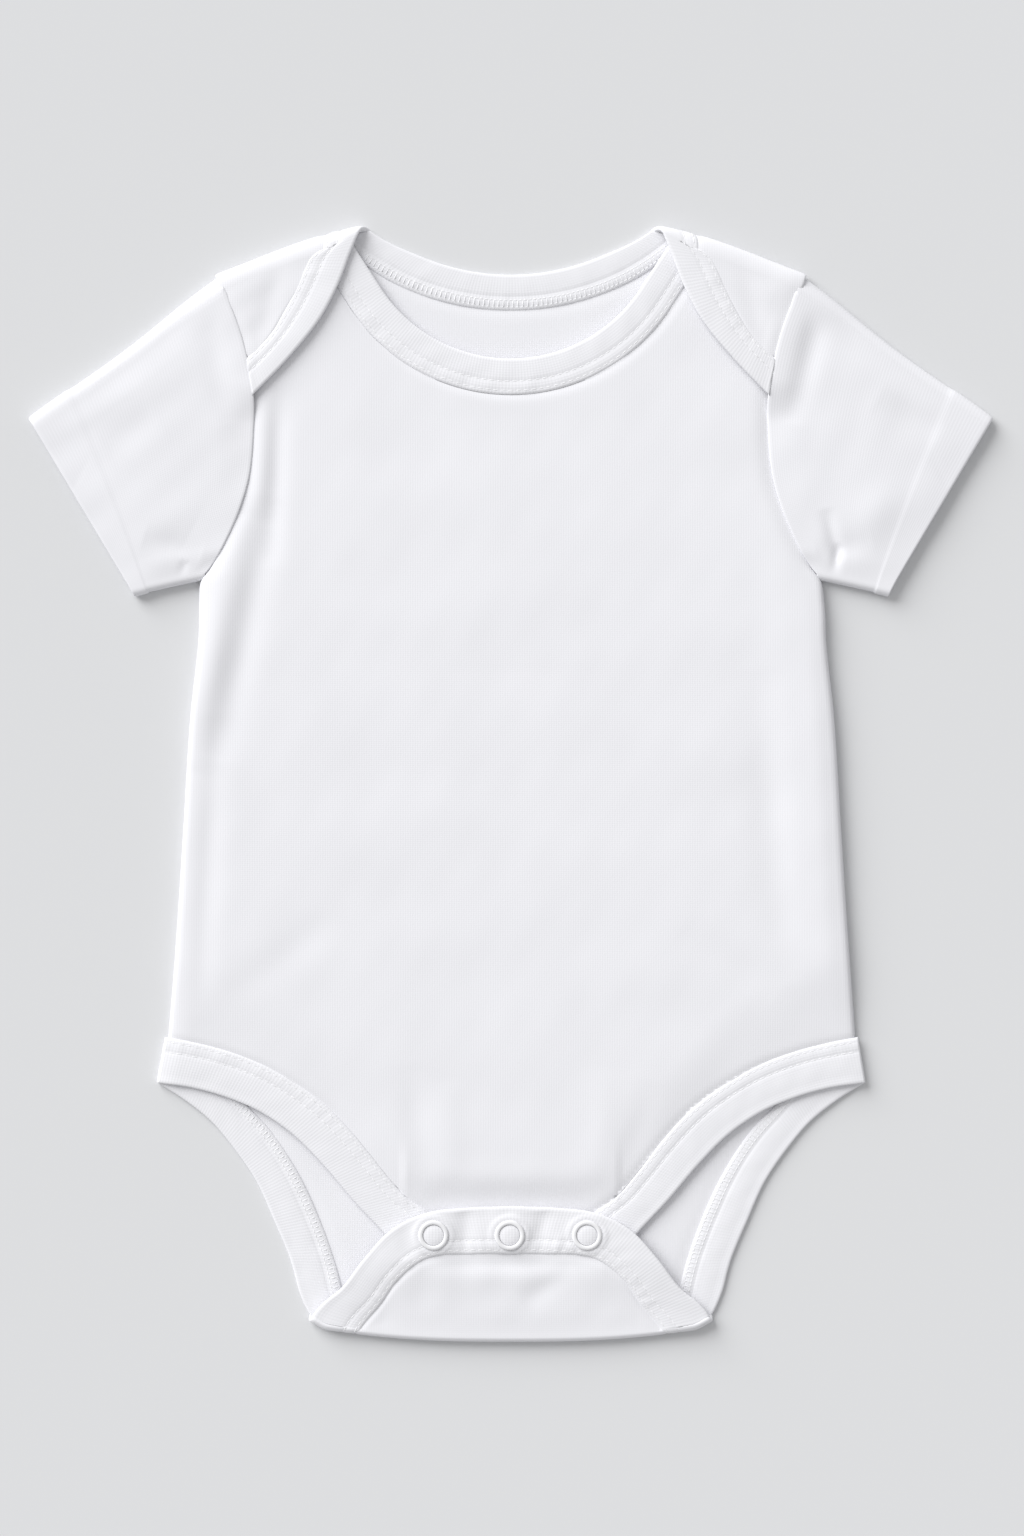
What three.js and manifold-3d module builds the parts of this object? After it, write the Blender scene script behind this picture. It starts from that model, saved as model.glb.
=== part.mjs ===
// A white baby onesie laid flat on its back: short sleeves, lapped shoulders and three snaps at the crotch.
// Millimetres, +Z up. X runs across it, Y from the crotch up to the neck, and its underside is at Z = 0.
import * as THREE from "three";
import { mergeVertices } from "three/addons/utils/BufferGeometryUtils.js";
import Module from "manifold-3d";

// Cloth
const CLOTH = 1.0; // thickness of a panel
const BAND = 1.6; // thickness of a folded binding
const HEM = 1.6; // thickness of a sleeve's turned hem
const SEAM = 0.4; // gap between two pieces at a seam
const REST = 0.3; // gap between two pieces that lie on each other

// Neck
const NECK = { back: { centre: 258.1, radius: 80 }, front: { centre: 202.6, radius: 54 } };
const BACK_NECK_WIDTH = 12.5;
const FRONT_NECK_WIDTH = 12.7;
const FRONT_NECK_TURN = THREE.MathUtils.degToRad(57); // where its arc becomes a straight run
const FRONT_NECK_RUN = { inner: 20.4, outer: 24.6 }; // length of that run, at both edges
const BACK_NECK_TURN = THREE.MathUtils.degToRad(42); // where the back panel meets the shoulder fold
// Where the lap's binding crosses the shoulder fold
const LAP_FOLD_X = { outer: 53.4, inner: 67.2, shift: 4.9 };

// Sides
const ROLL = 4; // width of the rounded side edge
const UNDERARM = 71.4;
const HIP = -88.5;
const SHOULDER_POINT = 177.6;
const CROTCH_FOLD = { y: -193.7, lift: 5.6, half: 71.5, power: 2.6 };
const TAB_END = -166; // lower edge of the front panel, under the flap
const LEG_BAND_DROP = 16; // height of a leg binding's end at the hip
const FLAP_HALF = 51.6; // half width of the crotch flap's panel
const LAP_CORNER = { fold: { x: 102.4, y: 175.4 }, armhole: { x: 92.6, y: 150.9 }, seam: 0.97 };

// Snaps
const SNAPS = table(["name", "x"], [["left", -27], ["middle", -0.4], ["right", 26.6]]);
const SNAP_Y = -157.4;
const CAP_PROFILE = table(["r", "z"], [
  [4.9, 0], [5.25, 0.35], [5.05, 0.8], [4.6, 1.0], [4.1, 0.85], [3.7, 0.4], [3.4, 0.4], [3.1, 0.7], [1.8, 0.9],
]);
const STUD = { radius: 4, height: 0.6 };

// Heights of the middle of each layer
const FLAT = CLOTH / 2;
const FLAT_BAND = BAND / 2;
const EDGE_LOW = 1.35; // the front panel's edge, above the back panel
const EDGE_LOW_BAND = FLAT_BAND + BAND + REST;
const LEG_LOW = BAND + REST + FLAT_BAND + 0.05; // the front leg bindings, above the back ones
const LAP_LIFT = BAND + REST; // the laps, above the front
const LAP_LIFT_ARMHOLE = CLOTH / 2 + REST + BAND / 2;
const PLACKET = 5.25; // the flap's binding under the snaps
const FLAP_FOLD = 3.5; // the flap where it has just turned over the crotch fold
const SLEEVE_HIGH = 4.3; // a sleeve's front face

// How far the front layer's edges reach into it
const TAB_HALF = 38; // nearer the middle the front's lower edge is the tab's end
const LEG_RISE = { from: 6, to: 34, foldsFrom: 4, foldsTo: 26, slant: 0.75 };
const TAB_RISE = { inner: 40, outer: 70, height: 2.4 };
const ARMHOLE_DIP = { depth: 0.5, width: 3 };
const LAP_RISE = { full: 9, foldsFrom: 1, foldsTo: 6 };
const FLAP_RISE = { from: -190, to: -165 };
const BACK_RISE = { from: 4, to: 18 };

// Half outline of the body, down its armhole and side
const SIDE = table(["y", "x"], [
  [178, 103.5], [170, 99.2], [155, 93.7], [136.5, 90], [124, 89.9], [108, 91.3], [95, 95.1], [82.6, 100.7],
  [75.3, 105.2], [71, 108.6], [64, 109.1], [50, 109.4], [22, 112.3], [-20, 114.9], [-62, 117.7], [-88.5, 119.9],
]);
// Shoulder fold, from the neck out to the sleeve
const SHOULDER = table(["x", "y"], [
  [44, 193], [48, 194.5], [52, 194.9], [56, 194.2], [68, 191.2], [80, 187.1], [93, 182], [103.5, 178],
]);
// Front leg binding: its seam with the front panel and its free edge, from the hip to the tab
const FRONT_LEG_SEAM = table(["x", "y"], [
  [121.2, -88.4], [110, -90.5], [98.5, -93.5], [86, -98.3], [73, -106], [62.5, -114.2], [53.3, -124.2],
  [43.6, -136.4], [36.3, -144.7], [29.4, -149.6], [24.6, -156], [22, TAB_END],
]);
const FRONT_LEG_EDGE = table(["x", "y"], [
  [124.4, -104.4], [111, -106.2], [99, -109.6], [88, -114.3], [76, -122.5], [65, -133.6], [55.2, -145.2],
  [44.3, -157], [37.5, TAB_END],
]);
// Back leg binding: its free edge and its seam with the back panel, from the hip to the crotch fold
const BACK_LEG_EDGE = table(["x", "y"], [
  [124.4, -104.4], [114.1, -110.5], [105.2, -117.6], [99, -124.6], [89.2, -138.6], [82.8, -152.6],
  [77, -166.6], [73.2, -180.6], [71.3, -185.7],
]);
const BACK_LEG_SEAM = table(["x", "y"], [
  [121.2, -88.4], [112, -92.5], [103, -99.5], [93.5, -111], [83.8, -121.5], [74.6, -135.6], [67.3, -151],
  [61.5, -167], [57.6, -182], [55.2, -189.7],
]);
// The same binding on the crotch flap, from the fold up and round to the middle of the placket
const FLAP_EDGE = table(["x", "y"], [
  [70.4, -186], [60, -177.3], [51.5, -166], [43.5, -157.1], [36.5, -152.4], [28.5, -149.4], [17, -148],
  [0, -147.3],
]);
const FLAP_SEAM = table(["x", "y"], [
  [52.6, -189.9], [45.6, -182], [40, -174], [32, -167], [25, -164.6], [15.5, -164.2], [0, -164.1],
]);
// The lap's binding: its free edge and its seam, from the shoulder fold down to the armhole
const LAP_EDGE = table(["x", "y"], [
  [54.2, 190.4], [60.5, 173.8], [66.8, 162.1], [77.7, 148.6], [89.3, 136.6],
]);
const LAP_SEAM = table(["x", "y"], [
  [68, 187.7], [71.1, 182.4], [73.9, 176], [78.5, 166.3], [84.1, 157.2], [91.6, 149.4],
]);
// Sleeve: its ends, from the armhole seam to the hem
const SLEEVE = { tip: [168.5, 127.7], corner: [131.5, 65.8], topSag: 1.8, hem: 15, length: 66, edge: 1.6 };

// Height of the front layer along the body, where nothing folds it
const CROWN = table(["y", "z"], [
  [-170, 2.4], [-150, 2.5], [-136, 3.9], [-110, 4.2], [-40, 4.5], [30, 4.5], [90, 4.1], [130, 3.6], [150, 3.3],
  [200, 3.1],
]);
// Soft folds of each layer: a line in the plan, its half width, and how far it rises or sinks
const FOLDS = table(["x1", "y1", "x2", "y2", "width", "rise"], [
  [-104, 70, -111, -70, 5, 0.6], [104, 70, 111, -80, 5, 0.6],
  [-93, 80, -103, 0, 6, -0.9], [-102, 10, -106, -78, 6, -0.7],
  [91, 130, 99, -80, 10, 0.5], [84, 40, 94, -70, 7, -0.6],
  [-86, 138, -87, 92, 4, 0.5], [-81, 140, -84, 76, 4, -0.8],
  [-30, -142, -35, -98, 5, -0.6], [-20, -138, -22, -104, 5, 0.4],
  [38, -142, 50, -104, 5, -0.6], [30, -140, 34, -100, 5, 0.4],
  [-98, -76, -62, -46, 6, -0.5], [92, -74, 60, -50, 6, -0.4],
  [-36, -141, 34, -141, 4, 0.7], [0, 128, 0, 40, 30, 0.3],
]);
const BACK_FOLDS = table(["x1", "y1", "x2", "y2", "width", "rise"], [
  [-96, 100, 84, -76, 38, 0.16], [-88, -78, 92, 64, 30, 0.14], [-20, 150, 10, 20, 26, 0.12],
  [40, -40, 20, -180, 24, 0.15], [-50, -90, -38, -176, 15, 0.17], [60, -96, 46, -160, 12, 0.13],
  [70, 160, 96, 90, 22, 0.12], [-80, 165, -100, 60, 26, 0.13],
]);
const LAP_FOLDS = table(["x1", "y1", "x2", "y2", "width", "rise"], [
  [81, 184, 91, 150, 4, -0.7], [88, 184, 94, 160, 4, 0.6],
]);
const FLAP_FOLDS = table(["x1", "y1", "x2", "y2", "width", "rise"], [
  [-30, -169, 30, -169, 4, -0.7], [20, -168, 2, -183, 4, -0.5], [-44, -186, 44, -186, 6, 0.4],
  [-14, -150, -13, -163, 4, -0.7], [13, -150, 12, -163, 4, -0.7], [-38, -152, -36, -166, 4, -0.4],
]);
const SLEEVE_FOLDS = table(["x1", "y1", "x2", "y2", "width", "rise"], [
  [107, 170, 98, 128, 4, -0.8], [113, 164, 104, 120, 5, 0.5], [108, 80, 128, 86, 4, -0.5],
  [112, 88, 150, 108, 8, 0.5], [128, 134, 150, 122, 6, -0.4],
]);

function table(names, rows) {
  return rows.map((row) => Object.fromEntries(names.map((name, i) => [name, row[i]])));
}

const { lerp, clamp, smoothstep } = THREE.MathUtils;

function evenly(count, from = 0, to = 1) {
  return Array.from({ length: count + 1 }, (_, i) => lerp(from, to, i / count));
}

// The value of one column where another has a given value, on a smooth curve through the rows.
function read(rows, at, want, value) {
  const last = rows.length - 1;
  const falling = rows[0][at] > rows[last][at];
  let i = 0;
  while (i < last - 1 && (falling ? rows[i + 1][at] > value : rows[i + 1][at] < value)) i += 1;
  const slope = (j) => {
    const a = rows[Math.max(j - 1, 0)];
    const b = rows[Math.min(j + 1, last)];
    return (b[want] - a[want]) / (b[at] - a[at]);
  };
  const span = rows[i + 1][at] - rows[i][at];
  const t = clamp((value - rows[i][at]) / span, 0, 1);
  const a = rows[i][want];
  const b = rows[i + 1][want];
  const bend = slope(i) * span * t * (1 - t) ** 2 - slope(i + 1) * span * t * t * (1 - t);
  return a + (b - a) * t * t * (3 - 2 * t) + bend;
}

// A function that runs along a table of plan points by its length, from 0 to 1.
function route(rows) {
  const points = rows.map(({ x, y }) => new THREE.Vector3(x, y, 0));
  const curve = new THREE.CatmullRomCurve3(points, false, "centripetal");
  return (t) => curve.getPointAt(clamp(t, 0, 1));
}

const frontLegSeam = route(FRONT_LEG_SEAM);
const frontLegEdge = route(FRONT_LEG_EDGE);
const backLegEdge = route(BACK_LEG_EDGE);
const backLegSeam = route(BACK_LEG_SEAM);
const flapEdge = route(FLAP_EDGE);
const flapSeam = route(FLAP_SEAM);
const lapEdge = route(LAP_EDGE);
const lapSeam = route(LAP_SEAM);

const sideAt = (y) => read(SIDE, "y", "x", y);
const bandSideAt = (y) => {
  const drop = clamp((HIP - y) / LEG_BAND_DROP, 0, 1);
  return lerp(FRONT_LEG_SEAM[0].x, FRONT_LEG_EDGE[0].x, drop);
};
const shoulderFold = { y: (x) => read(SHOULDER, "x", "y", x), out: 1 };
const crotchFold = {
  y: (x) => CROTCH_FOLD.y + CROTCH_FOLD.lift * (Math.abs(x) / CROTCH_FOLD.half) ** CROTCH_FOLD.power,
  out: -1,
};

// The rise of a list of soft folds at a place in the plan.
function folded(folds, x, y) {
  return folds.reduce((sum, fold) => {
    const dx = fold.x2 - fold.x1;
    const dy = fold.y2 - fold.y1;
    const t = clamp(((x - fold.x1) * dx + (y - fold.y1) * dy) / (dx * dx + dy * dy), 0, 1);
    const away = Math.hypot(x - fold.x1 - t * dx, y - fold.y1 - t * dy) / fold.width;
    return sum + fold.rise * Math.exp(-away * away) * Math.sin(Math.PI * t) ** 0.7;
  }, 0);
}

// Height of the middle of the front layer, with its rounded edge at the side of the body.
function frontHeight(x, y, side = sideAt(y) - CLOTH / 2, low = EDGE_LOW) {
  const half = Math.abs(x);
  const onTab = half <= TAB_HALF;
  const fromLeg = onTab ? y - TAB_END : (y - read(FRONT_LEG_EDGE, "x", "y", half)) * LEG_RISE.slant;
  const ease = onTab ? 1 : smoothstep(fromLeg, LEG_RISE.foldsFrom, LEG_RISE.foldsTo);
  const crown = read(CROWN, "y", "z", y) + folded(FOLDS, x, y) * ease;
  const leg = lerp(LEG_LOW, TAB_RISE.height, smoothstep(-half, -TAB_RISE.outer, -TAB_RISE.inner));
  const open = lerp(leg, crown, smoothstep(fromLeg, LEG_RISE.from, LEG_RISE.to));
  const fromSide = Math.max(side - half, 0);
  const below = smoothstep(-y, -UNDERARM - 10, -UNDERARM + ROLL);
  const roll = fromSide < ROLL ? 1 - Math.sqrt(1 - (1 - fromSide / ROLL) ** 2) : 0;
  const dip = ARMHOLE_DIP.depth * Math.exp(-((fromSide / ARMHOLE_DIP.width) ** 2)) * (1 - below);
  return open - below * roll * (open - low) - dip;
}

function lapHeight(x, y) {
  const fromSeam = sideAt(y) - Math.abs(x);
  const lift = lerp(LAP_LIFT_ARMHOLE, LAP_LIFT, smoothstep(fromSeam, 0, LAP_RISE.full));
  const ease = smoothstep(fromSeam, LAP_RISE.foldsFrom, LAP_RISE.foldsTo);
  return frontHeight(x, y) + lift + folded(LAP_FOLDS, Math.abs(x), y) * ease;
}

function flapHeight(x, y) {
  return lerp(FLAP_FOLD, PLACKET, smoothstep(y, FLAP_RISE.from, FLAP_RISE.to)) + folded(FLAP_FOLDS, x, y);
}

// A place on a fold that the cloth turns over: turn runs from 0 under it to 1 on top of it.
// Tuck is how much of the turn's radius shows in the plan.
function onFold(fold, x, turn, low, high, thickness, tuck = 1) {
  const slope = fold.y(x + 0.5) - fold.y(x - 0.5);
  const out = new THREE.Vector2(-slope, 1).normalize().multiplyScalar(fold.out);
  const radius = (high - low) / 2;
  const reach = radius * tuck * (Math.sin(Math.PI * turn) - 1) - thickness / 2;
  const z = low + radius * (1 - Math.cos(Math.PI * turn));
  return new THREE.Vector3(x + out.x * reach, fold.y(x) + out.y * reach, z);
}

// Where a closed surface holds less than nothing, its faces point inwards, and they are turned round.
function facingOut(geometry) {
  const p = geometry.getAttribute("position");
  const index = geometry.index.array;
  const corner = (i) => new THREE.Vector3().fromBufferAttribute(p, index[i]);
  let volume = 0;
  for (let i = 0; i < index.length; i += 3) volume += corner(i).dot(corner(i + 1).cross(corner(i + 2)));
  if (volume < 0) {
    for (let i = 0; i < index.length; i += 3) [index[i + 1], index[i + 2]] = [index[i + 2], index[i + 1]];
  }
  return geometry;
}

// A closed wall of cloth on a grid: place(a, b) is its middle surface, and thick(a, b) its thickness.
// A wall that wraps is a tube, whose last column joins its first.
function wall(place, as, bs, thick, wraps = false) {
  const step = 1e-3;
  const points = [];
  const low = { a: as[0], b: bs[0] };
  const high = { a: as[as.length - 1], b: bs[bs.length - 1] };
  for (const side of [0.5, -0.5]) {
    for (const a of as) {
      for (const b of bs) {
        const da = place(Math.min(a + step, high.a), b).sub(place(Math.max(a - step, low.a), b));
        const bUp = wraps ? b + step : Math.min(b + step, high.b);
        const bDown = wraps ? b - step : Math.max(b - step, low.b);
        const db = place(a, bUp).sub(place(a, bDown));
        const normal = da.cross(db).normalize();
        points.push(...place(a, b).addScaledVector(normal, side * thick(a, b)).toArray());
      }
    }
  }
  const columns = bs.length;
  const layer = as.length * columns;
  const faces = [];
  const quad = (a, b, c, d) => faces.push(a, b, c, a, c, d);
  const lastColumn = wraps ? columns : columns - 1;
  for (let i = 0; i < as.length - 1; i += 1) {
    for (let j = 0; j < lastColumn; j += 1) {
      const next = (j + 1) % columns;
      const row = i * columns;
      const [a, b, c, d] = [row + j, row + next, row + columns + next, row + columns + j];
      quad(a, d, c, b);
      quad(layer + a, layer + b, layer + c, layer + d);
    }
  }
  for (const [i, turned] of [[0, false], [as.length - 1, true]]) {
    for (let j = 0; j < lastColumn; j += 1) {
      const [a, b] = [i * columns + j, i * columns + ((j + 1) % columns)];
      if (turned) quad(b, a, layer + a, layer + b);
      else quad(a, b, layer + b, layer + a);
    }
  }
  if (!wraps) {
    for (const [j, turned] of [[0, true], [columns - 1, false]]) {
      for (let i = 0; i < as.length - 1; i += 1) {
        const [a, b] = [i * columns + j, (i + 1) * columns + j];
        if (turned) quad(b, a, layer + a, layer + b);
        else quad(a, b, layer + b, layer + a);
      }
    }
  }
  const geometry = new THREE.BufferGeometry();
  geometry.setAttribute("position", new THREE.Float32BufferAttribute(points, 3));
  return facingOut(geometry.setIndex(faces));
}

const wasm = await Module();
wasm.setup();

// Several overlapping closed geometries as one.
function joined(geometries) {
  const solids = geometries.map((geometry) => {
    const bare = new THREE.BufferGeometry().setAttribute("position", geometry.getAttribute("position"));
    const merged = mergeVertices(bare.setIndex(geometry.index), 1e-4);
    const mesh = new wasm.Mesh({
      numProp: 3,
      vertProperties: merged.getAttribute("position").array,
      triVerts: new Uint32Array(merged.index.array),
    });
    return new wasm.Manifold(mesh);
  });
  const mesh = solids.reduce((sum, solid) => sum.add(solid)).getMesh();
  const geometry = new THREE.BufferGeometry();
  geometry.setAttribute("position", new THREE.Float32BufferAttribute(mesh.vertProperties, 3));
  return geometry.setIndex(new THREE.Uint32BufferAttribute(mesh.triVerts, 1));
}

// Parts of a binding's width, and its thickness there: it is rounded at both edges.
const BAND_WIDTHS = [0, 0.1, 0.5, 0.9, 1];
const bandThick = (a, b) => (b < 0.05 || b > 0.95 ? BAND * 0.55 : BAND);

const garment = new THREE.Group();
const cotton = () => new THREE.MeshStandardMaterial({ color: 0xf1f1f5, roughness: 0.9 });
const rib = () => new THREE.MeshStandardMaterial({ color: 0xf4f4f7, roughness: 0.85 });
const enamel = () => new THREE.MeshStandardMaterial({ color: 0xf6f6f8, roughness: 0.35, metalness: 0.1 });

function add(name, geometry, material) {
  const mesh = new THREE.Mesh(geometry, material);
  mesh.name = name;
  garment.add(mesh);
}

// The back's flat sheet, from the leg bindings and the crotch fold up to the neck binding and shoulder folds.
function backSheet() {
  const { centre, radius } = NECK.back;
  const neckSeam = radius + BACK_NECK_WIDTH + SEAM;
  const legSeam = [...BACK_LEG_SEAM].reverse();
  const corner = { leg: 53.6, neck: neckSeam * Math.sin(BACK_NECK_TURN), lap: LAP_FOLD_X.inner + 1 };
  const bottom = (half) => {
    const fold = onFold(crotchFold, half, 0, FLAT, FLAP_FOLD, CLOTH).y;
    if (half < corner.leg) return fold;
    const slope = read(legSeam, "x", "y", half + 0.5) - read(legSeam, "x", "y", half - 0.5);
    return Math.max(read(legSeam, "x", "y", half) + SEAM * 1.5 * Math.hypot(1, slope), fold);
  };
  const top = (half) => {
    if (half <= corner.neck) return centre - Math.sqrt(neckSeam ** 2 - half ** 2);
    return onFold(shoulderFold, half, 0, FLAT, lapHeight(half, shoulderFold.y(half) - 3), CLOTH).y;
  };
  const low = sideAt(HIP);
  const high = sideAt(SHOULDER_POINT - 3) - SEAM * 0.75;
  const place = (a, b) => {
    const sideY = lerp(bottom(low), top(high), a);
    const gap = SEAM * 0.75 * smoothstep(sideY, UNDERARM - 6, UNDERARM);
    const half = Math.abs(b);
    const y = lerp(bottom(half * low), top(half * high), a);
    return new THREE.Vector3(b * (sideAt(sideY) - gap), y, FLAT);
  };
  const columns = evenly(5, 0, corner.leg / low);
  columns.push(0.485, 0.52, 0.56, corner.neck / high, corner.lap / high, 0.74, 0.81, 0.88, 0.94, 1);
  const across = [...columns.slice(1).reverse().map((b) => -b), ...columns];
  const sheet = wall(place, [0, 0.2, 0.4, ...evenly(11, 0.58, 1)], across, () => CLOTH);
  // It lies flat on its underside, and its upper side swells softly.
  const points = sheet.getAttribute("position");
  for (let i = 0; i < points.count; i += 1) {
    const [x, y, z] = [points.getX(i), points.getY(i), points.getZ(i)];
    const inside = Math.min(sideAt(y) - Math.abs(x), top(Math.abs(x)) - y, y - bottom(Math.abs(x)));
    const ease = smoothstep(inside, BACK_RISE.from, BACK_RISE.to);
    if (z > FLAT) points.setZ(i, z + folded(BACK_FOLDS, x, y) * ease);
  }
  return sheet;
}

// One shoulder lap: from under the shoulder fold, over it, and forward onto the front.
function lap(side) {
  const underReach = 4;
  const place = (a, b) => {
    const { fold, armhole } = LAP_CORNER;
    const seam = lapSeam(clamp(a, 0, 1) * LAP_CORNER.seam).add(new THREE.Vector3(SEAM, SEAM * 0.4, 0));
    const corner = new THREE.Vector3(lerp(fold.x, armhole.x, a), lerp(fold.y, armhole.y, a), 0);
    const p = seam.lerp(corner, b);
    if (a >= 0) {
      p.y = Math.min(p.y, onFold(shoulderFold, p.x, 1, FLAT, 5, CLOTH).y);
      p.x = Math.min(p.x, sideAt(p.y) - SEAM / 2);
      p.z = lapHeight(p.x, p.y);
    } else {
      const x = lerp(lapSeam(0).x + SEAM, fold.x, b);
      const high = lapHeight(x, shoulderFold.y(x) - 3);
      const turn = clamp(1 + a, 0, 1);
      p.copy(onFold(shoulderFold, x, turn, FLAT, high, CLOTH));
      p.y -= underReach * Math.max(-1 - a, 0);
      if (a < -1) p.x = Math.min(p.x, sideAt(p.y) - SEAM * 0.75);
    }
    return p.multiply(new THREE.Vector3(side, 1, 1));
  };
  const along = [-2, -1, -0.83, -0.67, -0.5, -0.33, -0.17, 0, 0.12, 0.26, 0.42, 0.58, 0.74, 0.88, 1];
  return wall(place, along, evenly(6), () => CLOTH);
}

// The crotch flap: from under the crotch fold, over it, and up to its binding.
function flap() {
  const underReach = 4;
  const place = (a, b) => {
    const x = b * FLAP_HALF;
    if (a < 0) {
      const p = onFold(crotchFold, x, clamp(1 + a, 0, 1), FLAT, flapHeight(x, crotchFold.y(x) + 3), CLOTH);
      p.y += underReach * Math.max(-1 - a, 0);
      return p;
    }
    const start = onFold(crotchFold, x, 1, FLAT, FLAP_FOLD, CLOTH).y;
    const end = read([...FLAP_SEAM].reverse(), "x", "y", Math.abs(x)) - SEAM;
    const y = lerp(start, Math.max(end, start + 0.6), a);
    return new THREE.Vector3(x, y, flapHeight(x, y));
  };
  const along = [-2, -1, -0.8, -0.6, -0.4, -0.2, 0, 0.2, 0.4, 0.6, 0.8, 1];
  return wall(place, along, evenly(18, -1, 1), () => CLOTH);
}

// Upper edge of the front panel at a place across it: the neck binding's seam, then the shoulder fold.
function frontTop(x) {
  const half = Math.abs(x);
  const { centre, radius } = NECK.front;
  const seam = radius + FRONT_NECK_WIDTH + SEAM;
  const turnX = seam * Math.sin(FRONT_NECK_TURN);
  const turnY = centre - seam * Math.cos(FRONT_NECK_TURN);
  const arc = centre - Math.sqrt(Math.max(seam * seam - half * half, 0));
  const run = turnY + (half - turnX) * Math.tan(FRONT_NECK_TURN);
  return Math.min(half < turnX ? arc : run, shoulderFold.y(half) - 3.2);
}

function frontPanel() {
  const seam = [...FRONT_LEG_SEAM].reverse();
  const bottom = (x) => (Math.abs(x) < seam[0].x ? TAB_END : read(seam, "x", "y", Math.abs(x))) + SEAM * 1.5;
  const reach = { low: sideAt(HIP + 0.5) - CLOTH / 2, high: sideAt(SHOULDER_POINT - 3) - SEAM / 2 };
  const place = (a, b) => {
    const sideY = lerp(HIP + 0.5, SHOULDER_POINT - 3, a);
    const below = smoothstep(-sideY, -UNDERARM - 6, -UNDERARM);
    const x = b * (sideAt(sideY) - lerp(SEAM / 2, CLOTH / 2, below));
    const y = lerp(bottom(b * reach.low), frontTop(b * reach.high), a);
    return new THREE.Vector3(x, y, frontHeight(x, y));
  };
  const fromSide = [0, 0.5, 1.6, 3.3, 6, 10, 16, 24, 33, 41, 49, 57, 65, 73, 82, 90.5, 92.9, 95.3, 97.7, 107.5];
  const right = fromSide.map((d) => 1 - d / reach.low);
  const across = [...right.map((b) => -b), 0, ...right.reverse()];
  return wall(place, evenly(26), across, () => CLOTH);
}

function frontNeckband() {
  const { centre, radius } = NECK.front;
  const arcShare = 0.72;
  const place = (a, b) => {
    const share = Math.abs(a);
    const turn = FRONT_NECK_TURN * Math.min(share / arcShare, 1);
    const away = radius + b * FRONT_NECK_WIDTH;
    const straight = Math.max(share - arcShare, 0) / (1 - arcShare);
    const run = lerp(FRONT_NECK_RUN.inner, FRONT_NECK_RUN.outer, b) * straight;
    const p = new THREE.Vector3();
    p.x = (away * Math.sin(turn) + run * Math.cos(turn)) * (Math.sign(a) || 1);
    p.y = centre - away * Math.cos(turn) + run * Math.sin(turn);
    p.z = frontHeight(p.x, p.y);
    return p;
  };
  return wall(place, evenly(36, -1, 1), BAND_WIDTHS, bandThick);
}

// The back neck binding: along the back of the neck, over the shoulder folds, and down the laps' free edges.
function backNeckband() {
  const { centre, radius } = NECK.back;
  const stage = { arc: 0.46, fold: 0.6 };
  const place = (a, b) => {
    const share = Math.abs(a);
    const side = Math.sign(a) || 1;
    const foldX = lerp(LAP_FOLD_X.outer, LAP_FOLD_X.inner, b);
    const tuck = lerp(0.3, 1, smoothstep(b, 0, 0.8));
    const top = onFold(shoulderFold, foldX, 1, FLAT_BAND, 5, BAND, tuck);
    const high = lapHeight(top.x, top.y);
    const under = onFold(shoulderFold, foldX - LAP_FOLD_X.shift, 0, FLAT_BAND, high, BAND, tuck);
    const r = radius + b * BACK_NECK_WIDTH;
    let p;
    if (share <= stage.arc) {
      const full = Math.atan2(under.x, centre - under.y);
      const turn = full * (share / stage.arc);
      const grow = Math.hypot(under.x, centre - under.y) - r;
      const reach = r + grow * smoothstep(share / stage.arc, 0.6, 1);
      p = new THREE.Vector3(reach * Math.sin(turn), centre - reach * Math.cos(turn), FLAT_BAND);
    } else if (share <= stage.fold) {
      const t = (share - stage.arc) / (stage.fold - stage.arc);
      p = onFold(shoulderFold, foldX - LAP_FOLD_X.shift * (1 - t), t, FLAT_BAND, high, BAND, tuck);
    } else {
      const t = (share - stage.fold) / (1 - stage.fold);
      const start = onFold(shoulderFold, foldX, 1, FLAT_BAND, high, BAND, tuck);
      p = lapEdge(t).lerp(lapSeam(t), b);
      p.lerp(start, 1 - smoothstep(t, 0, 0.12));
      p.x = Math.min(p.x, sideAt(p.y) - SEAM / 2);
      p.z = lapHeight(p.x, p.y);
    }
    p.x *= side;
    return p;
  };
  const half = [...evenly(12, 0, stage.arc), ...evenly(6, stage.arc, stage.fold).slice(1)];
  half.push(...evenly(12, stage.fold, 1).slice(1));
  const along = [...half.slice(1).reverse().map((a) => -a), ...half];
  return wall(place, along, BAND_WIDTHS, bandThick);
}

function frontLegBand(side) {
  const place = (a, b) => {
    const p = frontLegSeam(a).lerp(frontLegEdge(a), b);
    const reach = bandSideAt(p.y) - BAND / 2;
    p.x = Math.min(p.x, reach);
    p.z = frontHeight(p.x * side, p.y, reach, EDGE_LOW_BAND);
    p.x *= side;
    return p;
  };
  const along = [0, 0.006, 0.02, 0.04, ...evenly(20, 0.08, 1)];
  return wall(place, along, BAND_WIDTHS, bandThick);
}

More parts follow.
